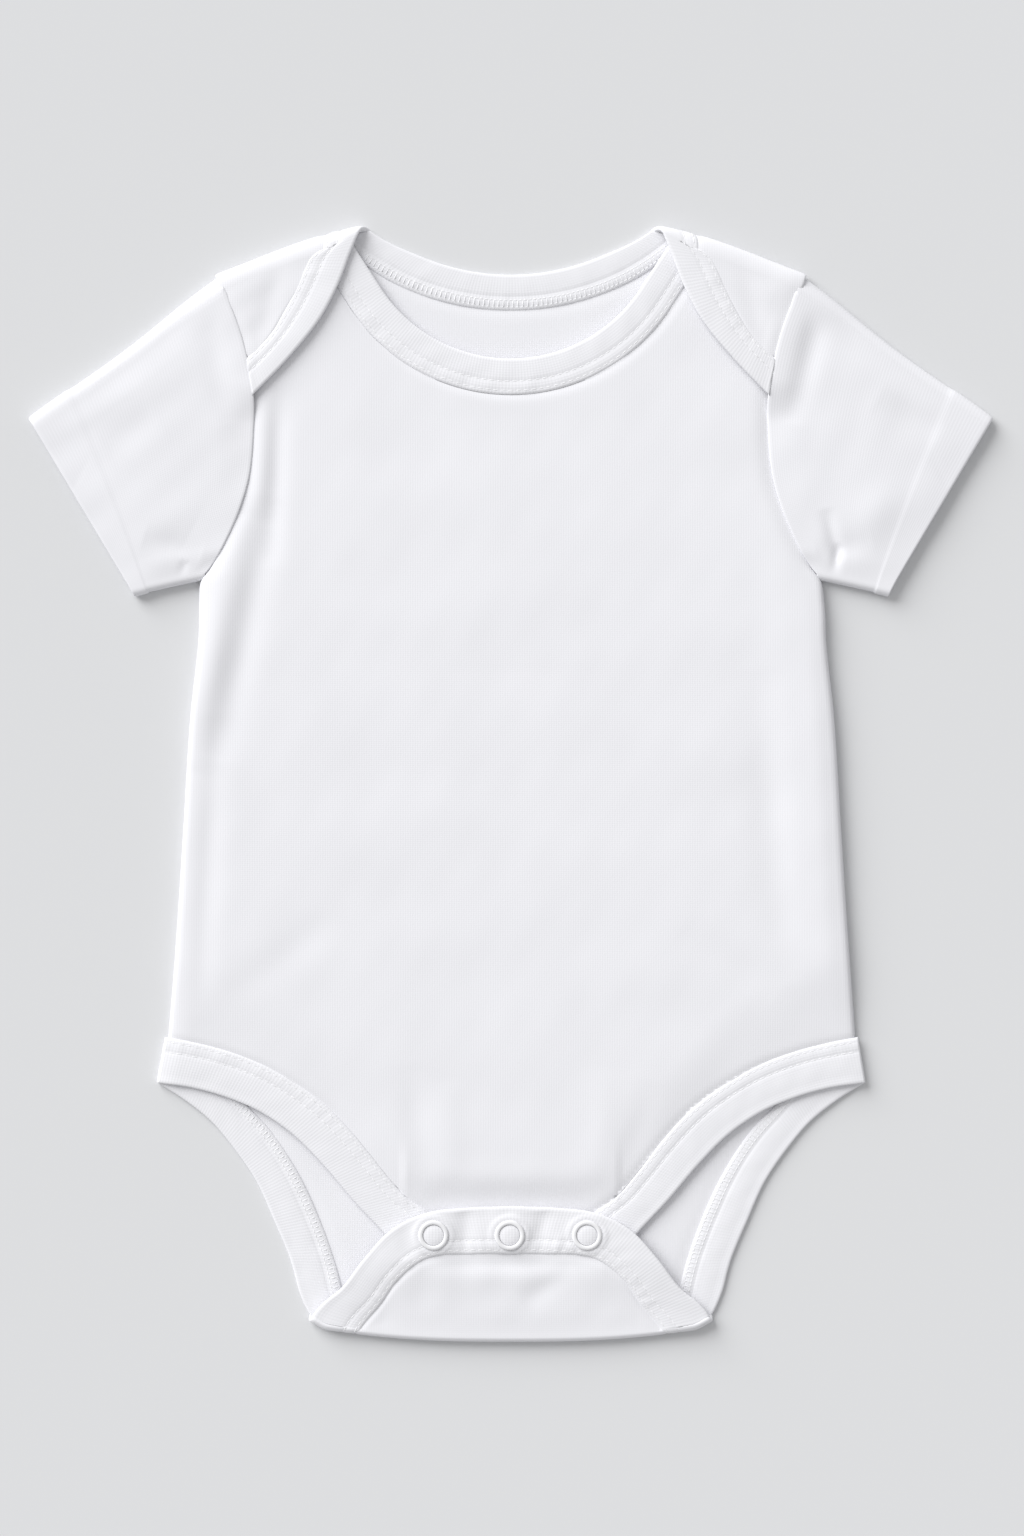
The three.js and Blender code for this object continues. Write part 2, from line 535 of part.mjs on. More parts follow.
// The back leg binding: from the right hip down the back, over the crotch fold, up the flap,
// across the placket, and the same way back to the left hip.
function backLegBand() {
  const stage = { flap: 0.46, fold: 0.54 };
  const place = (a, b) => {
    const share = Math.abs(a);
    const side = Math.sign(a) || 1;
    const top = flapEdge(0).lerp(flapSeam(0), b);
    const under = backLegEdge(1).lerp(backLegSeam(1), b);
    const high = flapHeight(top.x, top.y);
    let p;
    if (share <= stage.flap) {
      const t = 1 - share / stage.flap;
      const start = onFold(crotchFold, top.x, 1, FLAT_BAND, high, BAND);
      p = flapEdge(t).lerp(flapSeam(t), b);
      p.lerp(start, 1 - smoothstep(t, 0, 0.1));
      p.z = flapHeight(p.x * side, p.y);
    } else if (share <= stage.fold) {
      const t = 1 - (share - stage.flap) / (stage.fold - stage.flap);
      p = onFold(crotchFold, lerp(under.x, top.x, t), t, FLAT_BAND, high, BAND);
    } else {
      const t = 1 - (share - stage.fold) / (1 - stage.fold);
      const start = onFold(crotchFold, under.x, 0, FLAT_BAND, high, BAND);
      p = backLegEdge(t).lerp(backLegSeam(t), b);
      p.lerp(start, smoothstep(t, 0.9, 1));
      p.z = FLAT_BAND;
    }
    p.x *= side;
    return p;
  };
  const half = [...evenly(16, 0, stage.flap), ...evenly(6, stage.flap, stage.fold).slice(1)];
  half.push(...evenly(18, stage.fold, 1).slice(1));
  const along = [...half.slice(1).reverse().map((a) => -a), ...half];
  return wall(place, along, BAND_WIDTHS, bandThick);
}

// A sleeve is a flat tube: a front face, a rolled lower edge, a back face on the table and a rolled upper edge.
function sleeve(side) {
  const hemTop = new THREE.Vector3(...SLEEVE.tip, 0);
  const hemBottom = new THREE.Vector3(...SLEEVE.corner, 0);
  const height = (x, y, a) => {
    const seam = frontHeight(sideAt(y), y) + 0.8 * smoothstep(y, 110, 150);
    return lerp(seam, SLEEVE_HIGH, smoothstep(a, 0, 0.3)) + folded(SLEEVE_FOLDS, x, y) * smoothstep(a, 0, 0.1);
  };
  const rowEnds = (a) => {
    const top = new THREE.Vector3(sideAt(SHOULDER_POINT) + SEAM / 2, SHOULDER_POINT, 0).lerp(hemTop, a);
    top.y -= SLEEVE.topSag * Math.sin(Math.PI * a);
    const bottom = new THREE.Vector3(sideAt(UNDERARM) + SLEEVE.edge, UNDERARM, 0).lerp(hemBottom, a);
    return { top, bottom };
  };
  // A plan point of the row, from its upper end at 0 to its lower end at 1.
  const plan = (a, t) => {
    const { top, bottom } = rowEnds(a);
    const p = top.clone().lerp(bottom, t);
    const y = lerp(SHOULDER_POINT, UNDERARM, t);
    const straight = lerp(sideAt(SHOULDER_POINT), sideAt(UNDERARM) + SLEEVE.edge - SEAM / 2, t);
    p.x += (sideAt(y) + SEAM * 0.75 - straight) * (1 - a) ** 2;
    return p;
  };
  const parts = { front: 0.42, lower: 0.5, back: 0.92 };
  const hemStart = 1 - SLEEVE.hem / SLEEVE.length;
  const thick = (a) => lerp(CLOTH, HEM, smoothstep(a, hemStart, hemStart + 0.02));
  const place = (a, b) => {
    const around = ((b % 1) + 1) % 1;
    const { top, bottom } = rowEnds(a);
    const length = top.distanceTo(bottom);
    const radius = SLEEVE.edge;
    const inset = (radius + CLOTH / 2) / length;
    const face = (t) => lerp(inset, 1 - inset, t);
    const high = FLAT + 2 * radius;
    let p;
    if (around < parts.front) {
      const t = around / parts.front;
      p = plan(a, face(t));
      const edge = Math.min(t, 1 - t) * length;
      p.z = lerp(high, height(p.x, p.y, a), smoothstep(edge, 0, 10)) - (thick(a) - CLOTH) * 0.3;
    } else if (around < parts.lower || around >= parts.back) {
      const lower = around < parts.lower;
      const from = lower ? parts.front : parts.back;
      const to = lower ? parts.lower : 1;
      const t = (around - from) / (to - from);
      p = plan(a, face(lower ? 1 : 0));
      const out = bottom.clone().sub(top).normalize().multiplyScalar(lower ? 1 : -1);
      p.addScaledVector(out, radius * Math.sin(Math.PI * t));
      p.z = FLAT + radius * (1 + (lower ? 1 : -1) * Math.cos(Math.PI * t));
      p.z += (thick(a) - CLOTH) * lerp(-0.3, 0.5, lower ? t : 1 - t);
    } else {
      p = plan(a, face(1 - (around - parts.lower) / (parts.back - parts.lower)));
      p.z = thick(a) / 2;
    }
    p.x = side * Math.max(p.x, sideAt(p.y) + SEAM * 0.75);
    return p;
  };
  const along = [...evenly(9, 0, hemStart), hemStart + 0.02, ...evenly(2, hemStart + 0.1, 1)];
  const around = [...evenly(12, 0, parts.front), ...evenly(4, parts.front, parts.lower).slice(1)];
  around.push(...evenly(11, parts.lower, parts.back).slice(1), ...evenly(4, parts.back, 1).slice(1, -1));
  return wall(place, along, around, thick, true);
}

function lathe(profile) {
  const points = [new THREE.Vector2(0, profile[0].z), ...profile.map(({ r, z }) => new THREE.Vector2(r, z))];
  points.push(new THREE.Vector2(0, profile[profile.length - 1].z + 0.02));
  const geometry = new THREE.LatheGeometry(points, 24).rotateX(Math.PI / 2);
  geometry.deleteAttribute("normal");
  geometry.deleteAttribute("uv");
  return facingOut(mergeVertices(geometry, 1e-4));
}

add("back_panel", joined([backSheet(), flap(), lap(1), lap(-1)]), cotton());
add("front_panel", frontPanel(), cotton());
add("neckband_back", backNeckband(), rib());
add("neckband_front", frontNeckband(), rib());
for (const [name, side] of [["left", -1], ["right", 1]]) {
  add("sleeve_" + name, sleeve(side), cotton());
  add("leg_band_front_" + name, frontLegBand(side), rib());
}
add("leg_band_back", backLegBand(), rib());
for (const { name, x } of SNAPS) {
  const top = flapHeight(x, SNAP_Y) + BAND / 2 + REST;
  add("snap_cap_" + name, lathe(CAP_PROFILE).translate(x, SNAP_Y, top), enamel());
  const stud = new THREE.CylinderGeometry(STUD.radius, STUD.radius, STUD.height, 20).rotateX(Math.PI / 2);
  stud.deleteAttribute("normal");
  stud.deleteAttribute("uv");
  const low = frontHeight(x, SNAP_Y) + BAND / 2 + REST + STUD.height / 2;
  add("snap_stud_" + name, facingOut(mergeVertices(stud, 1e-4)).translate(x, SNAP_Y, low), enamel());
}

export default garment;
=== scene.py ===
# A white baby onesie laid flat: the cloth, its bindings, its stitches and its snaps, on a pale floor.
# Shapes are worked out in millimetres in the frame's own axes, and meshes are made in metres.
import math

import bpy
import numpy as np
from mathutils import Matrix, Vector


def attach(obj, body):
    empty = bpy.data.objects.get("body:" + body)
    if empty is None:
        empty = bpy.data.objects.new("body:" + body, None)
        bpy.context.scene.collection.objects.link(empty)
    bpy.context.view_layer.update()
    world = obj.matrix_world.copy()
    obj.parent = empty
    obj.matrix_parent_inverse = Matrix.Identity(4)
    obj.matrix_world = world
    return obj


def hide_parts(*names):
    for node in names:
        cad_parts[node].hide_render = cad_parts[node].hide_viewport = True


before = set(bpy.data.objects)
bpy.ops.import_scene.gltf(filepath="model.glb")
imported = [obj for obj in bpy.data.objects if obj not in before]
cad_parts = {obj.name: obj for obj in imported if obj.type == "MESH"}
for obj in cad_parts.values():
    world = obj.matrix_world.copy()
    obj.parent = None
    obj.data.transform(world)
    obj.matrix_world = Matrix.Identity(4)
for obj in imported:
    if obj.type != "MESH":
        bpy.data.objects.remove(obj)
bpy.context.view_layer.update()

MM = 0.001

# Cloth, in millimetres
CLOTH = 1.0
BAND = 1.6
HEM = 1.7
SEAM = 0.12
TUCK = 1.2
REST = 0.3

# Neck
BACK_NECK = {"centre": 258.1, "radius": 80, "width": 12.5, "turn": math.radians(42)}
FRONT_NECK = {"centre": 202.6, "radius": 54, "width": 12.7, "turn": math.radians(57),
              "inner": 20.4, "outer": 24.6}
LAP_FOLD = {"outer": 53.4, "inner": 67.2, "shift": 4.9}

# Sides
ROLL = 1.1
SIDE_SLOPE = {"reach": 7.5, "left": 0.85, "right": 0.35}
RIGHT_LEAN = 1.0
UNDERARM = 71.4
HIP = -88.5
SHOULDER_POINT = 177.6
TAB_END = -166

# Cut sizes of the pieces that are laid out on a grid of their own
LAP = {"long": 48, "wide": 34}
FLAP = {"half": 54.4, "long": 30}
BINDINGS = {"neck_front": 168, "neck_back": 262, "leg_front": 142, "leg_back": 430}
LEG_WIDTH = 15.6
SNAP_SWELL = {"rise": 0.3, "radius": 6.2}

# Heights of the middle of each layer
FLAT = CLOTH / 2
FLAT_BAND = BAND / 2
EDGE_LOW = 1.35
EDGE_LOW_BAND = FLAT_BAND + BAND + REST
LEG_LOW = BAND + REST + FLAT_BAND + 0.05
LAP_LIFT = BAND + REST
LAP_LIFT_ARMHOLE = CLOTH / 2 + REST + BAND / 2
ARMHOLE_RIDGE = 0.6
PLACKET = 5.25
FLAP_FOLD = 3.4
LAP_TOP = 5.0
SHOULDER_EASE = 2.4
CROTCH_EASE = 0.8
SLEEVE_EASE = 2.6

# Snaps
SNAPS = {"left": -27, "middle": -0.4, "right": 26.6}
SNAP_Y = -157.4


def table(names, rows):
    """A short table as a dict of named columns."""
    return dict(zip(names.split(), np.array(rows, float).T))


SIDE = table("y x", [
    (178, 103.5), (170, 99.2), (155, 93.7), (136.5, 90), (124, 89.9), (108, 91.3), (95, 95.1), (82.6, 100.7),
    (75.3, 105.2), (71, 108.6), (64, 109.1), (50, 109.4), (22, 112.3), (-20, 114.9), (-62, 117.7),
    (-88.5, 119.9),
])
SHOULDER = table("x y", [
    (44, 193), (48, 194.5), (52, 194.9), (56, 194.2), (68, 191.2), (80, 187.1), (93, 182), (103.5, 178),
])
FRONT_LEG_SEAM = table("x y", [
    (120.7, -88.4), (110, -90.5), (98.5, -93.5), (86, -98.3), (73, -106), (62.5, -114.2), (53.3, -124.2),
    (43.6, -136.4), (36.3, -144.7), (29.4, -149.6), (24.6, -156), (22, TAB_END),
])
FRONT_LEG_EDGE = table("x y", [
    (123.6, -104.4), (111, -106.2), (99, -109.6), (88, -114.3), (76, -122.5), (65, -133.6), (55.2, -145.2),
    (44.3, -157), (37.5, TAB_END),
])
BACK_LEG_EDGE = table("x y", [
    (123.6, -104.4), (114.1, -110.5), (105.2, -117.6), (99, -124.6), (89.2, -138.6), (82.8, -152.6),
    (77, -166.6), (73.2, -180.6), (71.3, -184.6),
])
BACK_LEG_SEAM = table("x y", [
    (120.7, -88.4), (112, -92.5), (103, -99.5), (93.5, -111), (83.8, -121.5), (74.6, -135.6), (67.3, -151),
    (61.5, -167), (57.6, -182), (55.2, -189.7),
])
FLAP_EDGE = table("x y", [
    (70.2, -183.6), (60, -176.8), (51.5, -166), (43.5, -157.1), (36.5, -152.4), (28.5, -149.4), (17, -148),
    (0, -147.3),
])
FLAP_SEAM = table("x y", [
    (52.6, -189.9), (45.6, -182), (40, -174), (32, -167), (25, -164.6), (15.5, -164.2), (0, -164.1),
])
LAP_EDGE = table("x y", [(54.2, 190.4), (60.5, 173.8), (66.8, 162.1), (77.7, 148.6), (90.4, 135.5)])
LAP_SEAM = table("x y", [
    (68, 187.7), (71.1, 182.4), (73.9, 176), (78.5, 166.3), (84.1, 157.2), (93.2, 147.7),
])
SLEEVE = {"tip": (168.5, 127.7), "corner": (131.5, 65.8), "sag": 1.8, "hem": 15, "long": 66, "radius": 1.6,
          "face": 4.3, "hem_face": 3.6, "tucked": 0.7}
CROWN = table("y z", [
    (-170, 2.4), (-150, 2.5), (-136, 3.9), (-110, 4.2), (-40, 4.5), (30, 4.5), (90, 4.1), (130, 3.6),
    (150, 3.3), (200, 3.1),
])

# Soft folds: a line in the plan, its half width, and how far it rises or sinks
FOLDS = table("x1 y1 x2 y2 width rise", [
    (104, 70, 111, -80, 5, 0.4),
    (-92, 94, -113, 5, 8, 1.35), (-84, 100, -103, 8, 6, -1.0), (-103, 24, -109, -80, 5, -0.7),
    (94, 120, 103, -80, 9, 0.5), (86, 40, 96, -70, 7, -0.6),
    (-86, 138, -87, 92, 4, 0.5), (-81, 140, -84, 76, 4, -0.8),
    (-30, -142, -35, -98, 5, -0.35), (-20, -138, -22, -104, 5, 0.25),
    (38, -142, 50, -104, 5, -0.35), (30, -140, 34, -100, 5, 0.25),
    (-98, -76, -62, -46, 6, -0.35), (92, -74, 60, -50, 6, -0.3),
    (-34, -138, 32, -138, 5, 0.35), (-30, -147, 30, -147, 4.5, -0.45), (0, 128, 0, 40, 30, 0.3),
])
LAP_FOLDS = table("x1 y1 x2 y2 width rise", [(80, 184, 89, 150, 4, -0.35)])
FLAP_FOLDS = table("x1 y1 x2 y2 width rise", [
    (-32, -167, 32, -167, 3.4, -1.0), (22, -169, 4, -181, 4, -0.5), (-44, -186, 44, -186, 6, 0.4),
    (-17, -149, -15, -164, 4, -0.9), (10, -149, 11, -164, 4, -0.9), (-38, -152, -36, -166, 4, -0.4),
])
SLEEVE_FOLDS = {
    -1: table("x1 y1 x2 y2 width rise", [
        (106, 168, 99, 126, 4, -0.25), (108, 80, 128, 86, 4, -0.4), (115.4, 68, 113.6, 78, 1.8, -1.0),
        (112, 88, 150, 108, 8, 0.4), (124, 128, 142, 118, 6, -0.3),
    ]),
    1: table("x1 y1 x2 y2 width rise", [
(109, 173, 98, 126, 4.5, -0.7), (104, 168, 95, 130, 4, 0.2), (107, 80, 126, 85, 4, -0.3),
        (112, 68, 114.5, 84, 1.8, -1.0), (114.5, 78, 110, 96, 2.4, -0.6), (112, 88, 150, 108, 8, 0.5),
        (128, 134, 150, 122, 6, -0.4),
    ]),
}


def smoothstep(value, low, high):
    t = np.clip((value - low) / (high - low), 0, 1)
    return t * t * (3 - 2 * t)


def lerp(a, b, t):
    return a + (b - a) * t


def read(rows, at, want, value):
    """One column's value where another has the given value, on a smooth curve through the rows."""
    order = np.argsort(rows[at])
    key, out = rows[at][order], rows[want][order]
    i = np.clip(np.searchsorted(key, value) - 1, 0, len(key) - 2)
    slopes = np.gradient(out) / np.gradient(key)
    span = key[i + 1] - key[i]
    t = np.clip((value - key[i]) / span, 0, 1)
    bend = slopes[i] * span * t * (1 - t) ** 2 - slopes[i + 1] * span * t * t * (1 - t)
    return out[i] + (out[i + 1] - out[i]) * t * t * (3 - 2 * t) + bend


def route(rows):
    """A function that runs along a table of plan points by its length, from 0 to 1."""
    p = np.column_stack([rows["x"], rows["y"]])
    p = np.vstack([2 * p[0] - p[1], p, 2 * p[-1] - p[-2]])
    line = []
    for a, b, c, d in zip(p, p[1:], p[2:], p[3:]):
        s0, s1, s2 = (max(np.linalg.norm(v) ** 0.5, 1e-6) for v in (b - a, c - b, d - c))
        m1 = ((b - a) / s0 - (c - a) / (s0 + s1) + (c - b) / s1) * s1
        m2 = ((c - b) / s1 - (d - b) / (s1 + s2) + (d - c) / s2) * s1
        t = np.linspace(0, 1, 24, endpoint=False)[:, None]
        cubic = b + m1 * t + (3 * (c - b) - 2 * m1 - m2) * t**2 + (2 * (b - c) + m1 + m2) * t**3
        line.append(cubic)
    line = np.vstack([*line, p[-2][None]])
    gone = np.concatenate([[0], np.cumsum(np.linalg.norm(np.diff(line, axis=0), axis=1))])
    gone /= gone[-1]

    def along(t):
        return np.stack([np.interp(t, gone, line[:, 0]), np.interp(t, gone, line[:, 1])], -1)

    return along


ROUTES = {
    "front_leg_seam": route(FRONT_LEG_SEAM), "front_leg_edge": route(FRONT_LEG_EDGE),
    "back_leg_seam": route(BACK_LEG_SEAM), "back_leg_edge": route(BACK_LEG_EDGE),
    "flap_seam": route(FLAP_SEAM), "flap_edge": route(FLAP_EDGE),
    "lap_seam": route(LAP_SEAM), "lap_edge": route(LAP_EDGE),
}


def side_at(y):
    return read(SIDE, "y", "x", y)


def band_side_at(y):
    return lerp(120.7, 123.6, np.clip((HIP - y) / 16, 0, 1))


def shoulder_fold(x):
    return read(SHOULDER, "x", "y", np.abs(x))


def crotch_fold(x):
    half = np.abs(x)
    return -195 + 5.6 * (half / 71.5) ** 2.6 + 2.2 * smoothstep(half, 64, 73)


def folded(folds, x, y):
    """The rise of a table of soft folds at places in the plan."""
    total = np.zeros_like(x)
    for x1, y1, x2, y2, width, rise in zip(*(folds[n] for n in ("x1", "y1", "x2", "y2", "width", "rise"))):
        dx, dy = x2 - x1, y2 - y1
        t = np.clip(((x - x1) * dx + (y - y1) * dy) / (dx * dx + dy * dy), 0, 1)
        away = np.hypot(x - x1 - t * dx, y - y1 - t * dy) / width
        total += rise * np.exp(-away * away) * np.sin(math.pi * t) ** 0.7
    return total


def waves(x, y, size, seed, count=7):
    """Soft uneven waves of about the given size, from -1 to 1."""
    draw = np.random.default_rng(seed)
    total = np.zeros_like(x)
    for _ in range(count):
        angle = draw.uniform(0, math.pi)
        length = size * draw.uniform(0.7, 1.6)
        phase = draw.uniform(0, 2 * math.pi)
        total += np.sin((x * math.cos(angle) + y * math.sin(angle)) * 2 * math.pi / length + phase)
    return total / count**0.5 / 1.6


def front_height(x, y, side=None, low=EDGE_LOW):
    """Height of the middle of the front layer, which slopes and then rolls down at the side of the body."""
    if side is None:
        side = side_at(y) - CLOTH / 2
    half = np.abs(x)
    past = half > 38
    leg_y = np.where(past, read(FRONT_LEG_EDGE, "x", "y", np.maximum(half, 38)), TAB_END)
    from_leg = (y - leg_y) * np.where(past, 0.75, 1)
    crown = read(CROWN, "y", "z", y) + folded(FOLDS, x, y) * smoothstep(np.where(past, from_leg, 30), 4, 26)
    leg = lerp(LEG_LOW, 2.4, smoothstep(-half, -70, -40))
    height = lerp(leg, crown, smoothstep(from_leg, 6, 34))
    from_side = np.maximum(side - half, 0)
    below = smoothstep(-y, -UNDERARM - 10, -UNDERARM + 4)
    drop = np.where(x < 0, SIDE_SLOPE["left"], SIDE_SLOPE["right"])
    slope = drop * (1 - np.minimum(from_side / SIDE_SLOPE["reach"], 1)) ** 2
    height = height - below * slope
    roll = 1 - np.sqrt(1 - (1 - np.minimum(from_side / ROLL, 1)) ** 2)
    dip = 0.5 * np.exp(-((from_side / 3) ** 2)) * (1 - below)
    return height - below * roll * (height - low) - dip


def lap_height(x, y):
    from_seam = side_at(y) - np.abs(x)
    lift = lerp(LAP_LIFT_ARMHOLE, LAP_LIFT, smoothstep(from_seam, 0, 9))
    lift += ARMHOLE_RIDGE * np.exp(-((from_seam / 4) ** 2))
    return front_height(x, y) + lift + folded(LAP_FOLDS, np.abs(x), y) * smoothstep(from_seam, 1, 6)


def flap_height(x, y):
    return lerp(FLAP_FOLD, PLACKET, smoothstep(y, -190, -165)) + folded(FLAP_FOLDS, x, y)


def on_fold(fold, out, x, turn, low, high, thickness, tuck=1.0):
    """Places on a fold that the cloth turns over: turn runs from 0 under it to 1 on top of it."""
    slope = fold(x + 0.5) - fold(x - 0.5)
    length = np.hypot(slope, 1)
    radius = (high - low) / 2
    ease = np.where(turn > 0.5, SHOULDER_EASE if out > 0 else CROTCH_EASE, 1)
    reach = radius * tuck * ease * (np.sin(math.pi * turn) - 1) - thickness / 2
    z = low + radius * (1 - np.cos(math.pi * turn))
    return np.stack([x - slope / length * out * reach, fold(x) + out * reach / length, z + 0 * x], -1)


RIM = (0.0, 0.25, 0.7, 1.3)


def spaced(length, step, ends=RIM):
    """Places from 0 to 1 along a length, closer together at both ends, so that the edges can be rounded."""
    near = np.array(ends) / length
    count = max(int(round((length - 2 * ends[-1]) / step)), 2)
    middle = np.linspace(near[-1], 1 - near[-1], count + 1)
    return np.concatenate([near[:-1], middle, 1 - near[:-1][::-1]])


def normals_of(p, wraps):
    if wraps:
        db = np.roll(p, -1, 1) - np.roll(p, 1, 1)
    else:
        db = np.gradient(p, axis=1)
    n = np.cross(np.gradient(p, axis=0), db)
    return n / np.maximum(np.linalg.norm(n, axis=-1, keepdims=True), 1e-9)


def edge_factor(places, length, radius):
    """1 inside a piece, and less within its rounded edge."""
    away = np.minimum(places, 1 - places) * length
    return np.sqrt(1 - (1 - np.clip(away / radius, 0.02, 1)) ** 2)


def lean(x, y):
    """The right side lies a little further out than the left, between the underarm and the leg binding."""
    return RIGHT_LEAN * smoothstep(x, 60, 108) * smoothstep(-y, -74, -56) * smoothstep(y, -130, -60)


class Shell:
    """A closed shell of cloth on a grid, kept as its outer and inner points."""

    def __init__(self, mid, thick, flip=False, wraps=False, outer=None, inner=None):
        n = normals_of(mid, wraps) * (-1 if flip else 1)
        half = (np.broadcast_to(thick, mid.shape[:2]) / 2)[..., None]
        grow_out = 0 if outer is None else outer[..., None]
        grow_in = 0 if inner is None else inner[..., None]
        self.outer = mid + n * (half + grow_out)
        self.inner = mid - n * (half + grow_in)
        for points in (self.outer, self.inner):
            points[..., 0] += lean(points[..., 0], points[..., 1])
        self.normal = n
        self.wraps = wraps

    def mesh_data(self, straight=False):
        """Vertices, quads and the plan of the knit: along the shell's grid, or straight across the floor."""
        rows, columns = self.outer.shape[:2]
        points = np.concatenate([self.outer.reshape(-1, 3), self.inner.reshape(-1, 3)])
        points[:, 2] = np.maximum(points[:, 2], 0.01)
        ends = np.arange(columns if self.wraps else columns - 1)
        i, j = np.meshgrid(np.arange(rows - 1), ends, indexing="ij")
        near, far = (i * columns + j).ravel(), (i * columns + (j + 1) % columns).ravel()
        quads = np.column_stack([near, near + columns, far + columns, far])
        layer = rows * columns
        faces = [quads, layer + quads[:, ::-1]]
        for k, row in enumerate((0, rows - 1)):
            a, b = row * columns + ends, row * columns + (ends + 1) % columns
            rim = np.column_stack([a, b, layer + b, layer + a])
            faces.append(rim if k == 0 else rim[:, ::-1])
        if not self.wraps:
            for k, column in enumerate((0, columns - 1)):
                a = np.arange(rows - 1) * columns + column
                b = a + columns
                rim = np.column_stack([a, b, layer + b, layer + a])
                faces.append(rim[:, ::-1] if k == 0 else rim)
        along = np.linalg.norm(np.diff(self.outer, axis=0), axis=-1).mean(1)
        across = np.linalg.norm(np.diff(self.outer, axis=1), axis=-1).mean(0)
        u, v = np.concatenate([[0], np.cumsum(along)]), np.concatenate([[0], np.cumsum(across)])
        plan = np.stack(np.meshgrid(u, v, indexing="ij"), -1).reshape(-1, 2)
        plan = points[:, :2] if straight else np.concatenate([plan, plan])
        return points, np.concatenate(faces), plan


def signed_volume(points, faces):
    a, b, c, d = (points[faces[:, k]] for k in range(4))
    return (np.einsum("ij,ij->i", a, np.cross(b, c)) + np.einsum("ij,ij->i", a, np.cross(c, d))).sum() / 6


def make_mesh(name, parts, material, smooth=True):
    """One object from several (points, faces, plan) parts, in metres, with its faces pointing out."""
    points, faces, plans, start = [], [], [], 0
    for p, f, plan in parts:
        if signed_volume(p, f) < 0:
            f = f[:, ::-1]
        points.append(p)
        faces.append(f + start)
        plans.append(plan)
        start += len(p)
    points, faces, plans = np.concatenate(points), np.concatenate(faces), np.concatenate(plans)
    mesh = bpy.data.meshes.new(name)
    mesh.vertices.add(len(points))
    mesh.vertices.foreach_set("co", (points * MM).astype(np.float32).ravel())
    mesh.loops.add(faces.size)
    mesh.loops.foreach_set("vertex_index", faces.astype(np.int32).ravel())
    mesh.polygons.add(len(faces))
    mesh.polygons.foreach_set("loop_start", np.arange(0, faces.size, 4, dtype=np.int32))
    mesh.polygons.foreach_set("use_smooth", np.full(len(faces), smooth))
    layer = mesh.uv_layers.new(name="cloth")
    layer.data.foreach_set("uv", (plans[faces.ravel()] * MM).astype(np.float32).ravel())
    mesh.update(calc_edges=True)
    mesh.validate()
    made = bpy.data.objects.new(name, mesh)
    bpy.context.scene.collection.objects.link(made)
    made.data.materials.append(material)
    return made


# Stitches

def stitch_parts(path, normal, length=2.1, gap=0.55, width=0.36, rise=0.09, lift=0.0, turned=False):
    """Short threads laid end to end along a path on the cloth, as one part."""
    step = np.linalg.norm(np.diff(path, axis=0), axis=1)
    gone = np.concatenate([[0], np.cumsum(step)])
    count = int(gone[-1] / (gap if turned else length + gap))
    if count < 1:
        return []
    middle = (np.arange(count) + 0.5) * gone[-1] / count

    def at(s, values):
        return np.stack([np.interp(s, gone, values[:, k]) for k in range(3)], -1)

    here = at(middle, path)
    ahead = at(middle + 0.4, path) - at(middle - 0.4, path)
    ahead /= np.linalg.norm(ahead, axis=1, keepdims=True)
    up = at(middle, normal)
    across = np.cross(up, ahead)
    across /= np.linalg.norm(across, axis=1, keepdims=True)
    up = np.cross(ahead, across)
    if turned:
        ahead, across = across, -ahead
    rings, sides = ((-1, 0.25), (-0.7, 0.85), (0, 1), (0.7, 0.85), (1, 0.25)), 6
    shape = []
    for s, r in rings:
        for k in range(sides):
            turn = 2 * math.pi * k / sides
            height = r * rise * math.sin(turn) - 0.1 * (1 - r)
            shape.append((s * length / 2, r * width / 2 * math.cos(turn), height))
    shape = np.array(shape)
    points = (here[:, None] + shape[None, :, :1] * ahead[:, None] + shape[None, :, 1:2] * across[:, None]
              + (shape[None, :, 2:] + lift) * up[:, None])
    ring = np.arange(sides)
    quads = []
    for k in range(len(rings) - 1):
        a, b = k * sides + ring, k * sides + (ring + 1) % sides
        quads.append(np.column_stack([a, b, b + sides, a + sides]))
    for first, backward in ((0, True), ((len(rings) - 1) * sides, False)):
        cap = np.array([[0, 1, 2, 5], [5, 2, 3, 4]]) + first
        quads.append(cap[:, ::-1] if backward else cap)
    quads = np.concatenate(quads)
    faces = (quads[None] + (np.arange(count) * len(shape))[:, None, None]).reshape(-1, 4)
    points = points.reshape(-1, 3)
    points[:, 2] = np.maximum(points[:, 2], 0.01)
    return [(points, faces, points[:, :2])]


def row_on(shell, column, rows=slice(None), side="outer"):
    """A path along a shell's grid at a place across it, with the cloth's normal there."""
    points = getattr(shell, side)
    sign = 1 if side == "outer" else -1
    low = int(math.floor(column))
    part = column - low
    high = min(low + 1, points.shape[1] - 1)
    path = lerp(points[rows, low], points[rows, high], part)
    return path, sign * shell.normal[rows, low]


def column_at(places, value):
    """The grid position of a place across a shell."""
    return float(np.interp(value, places, np.arange(len(places))))


# Materials

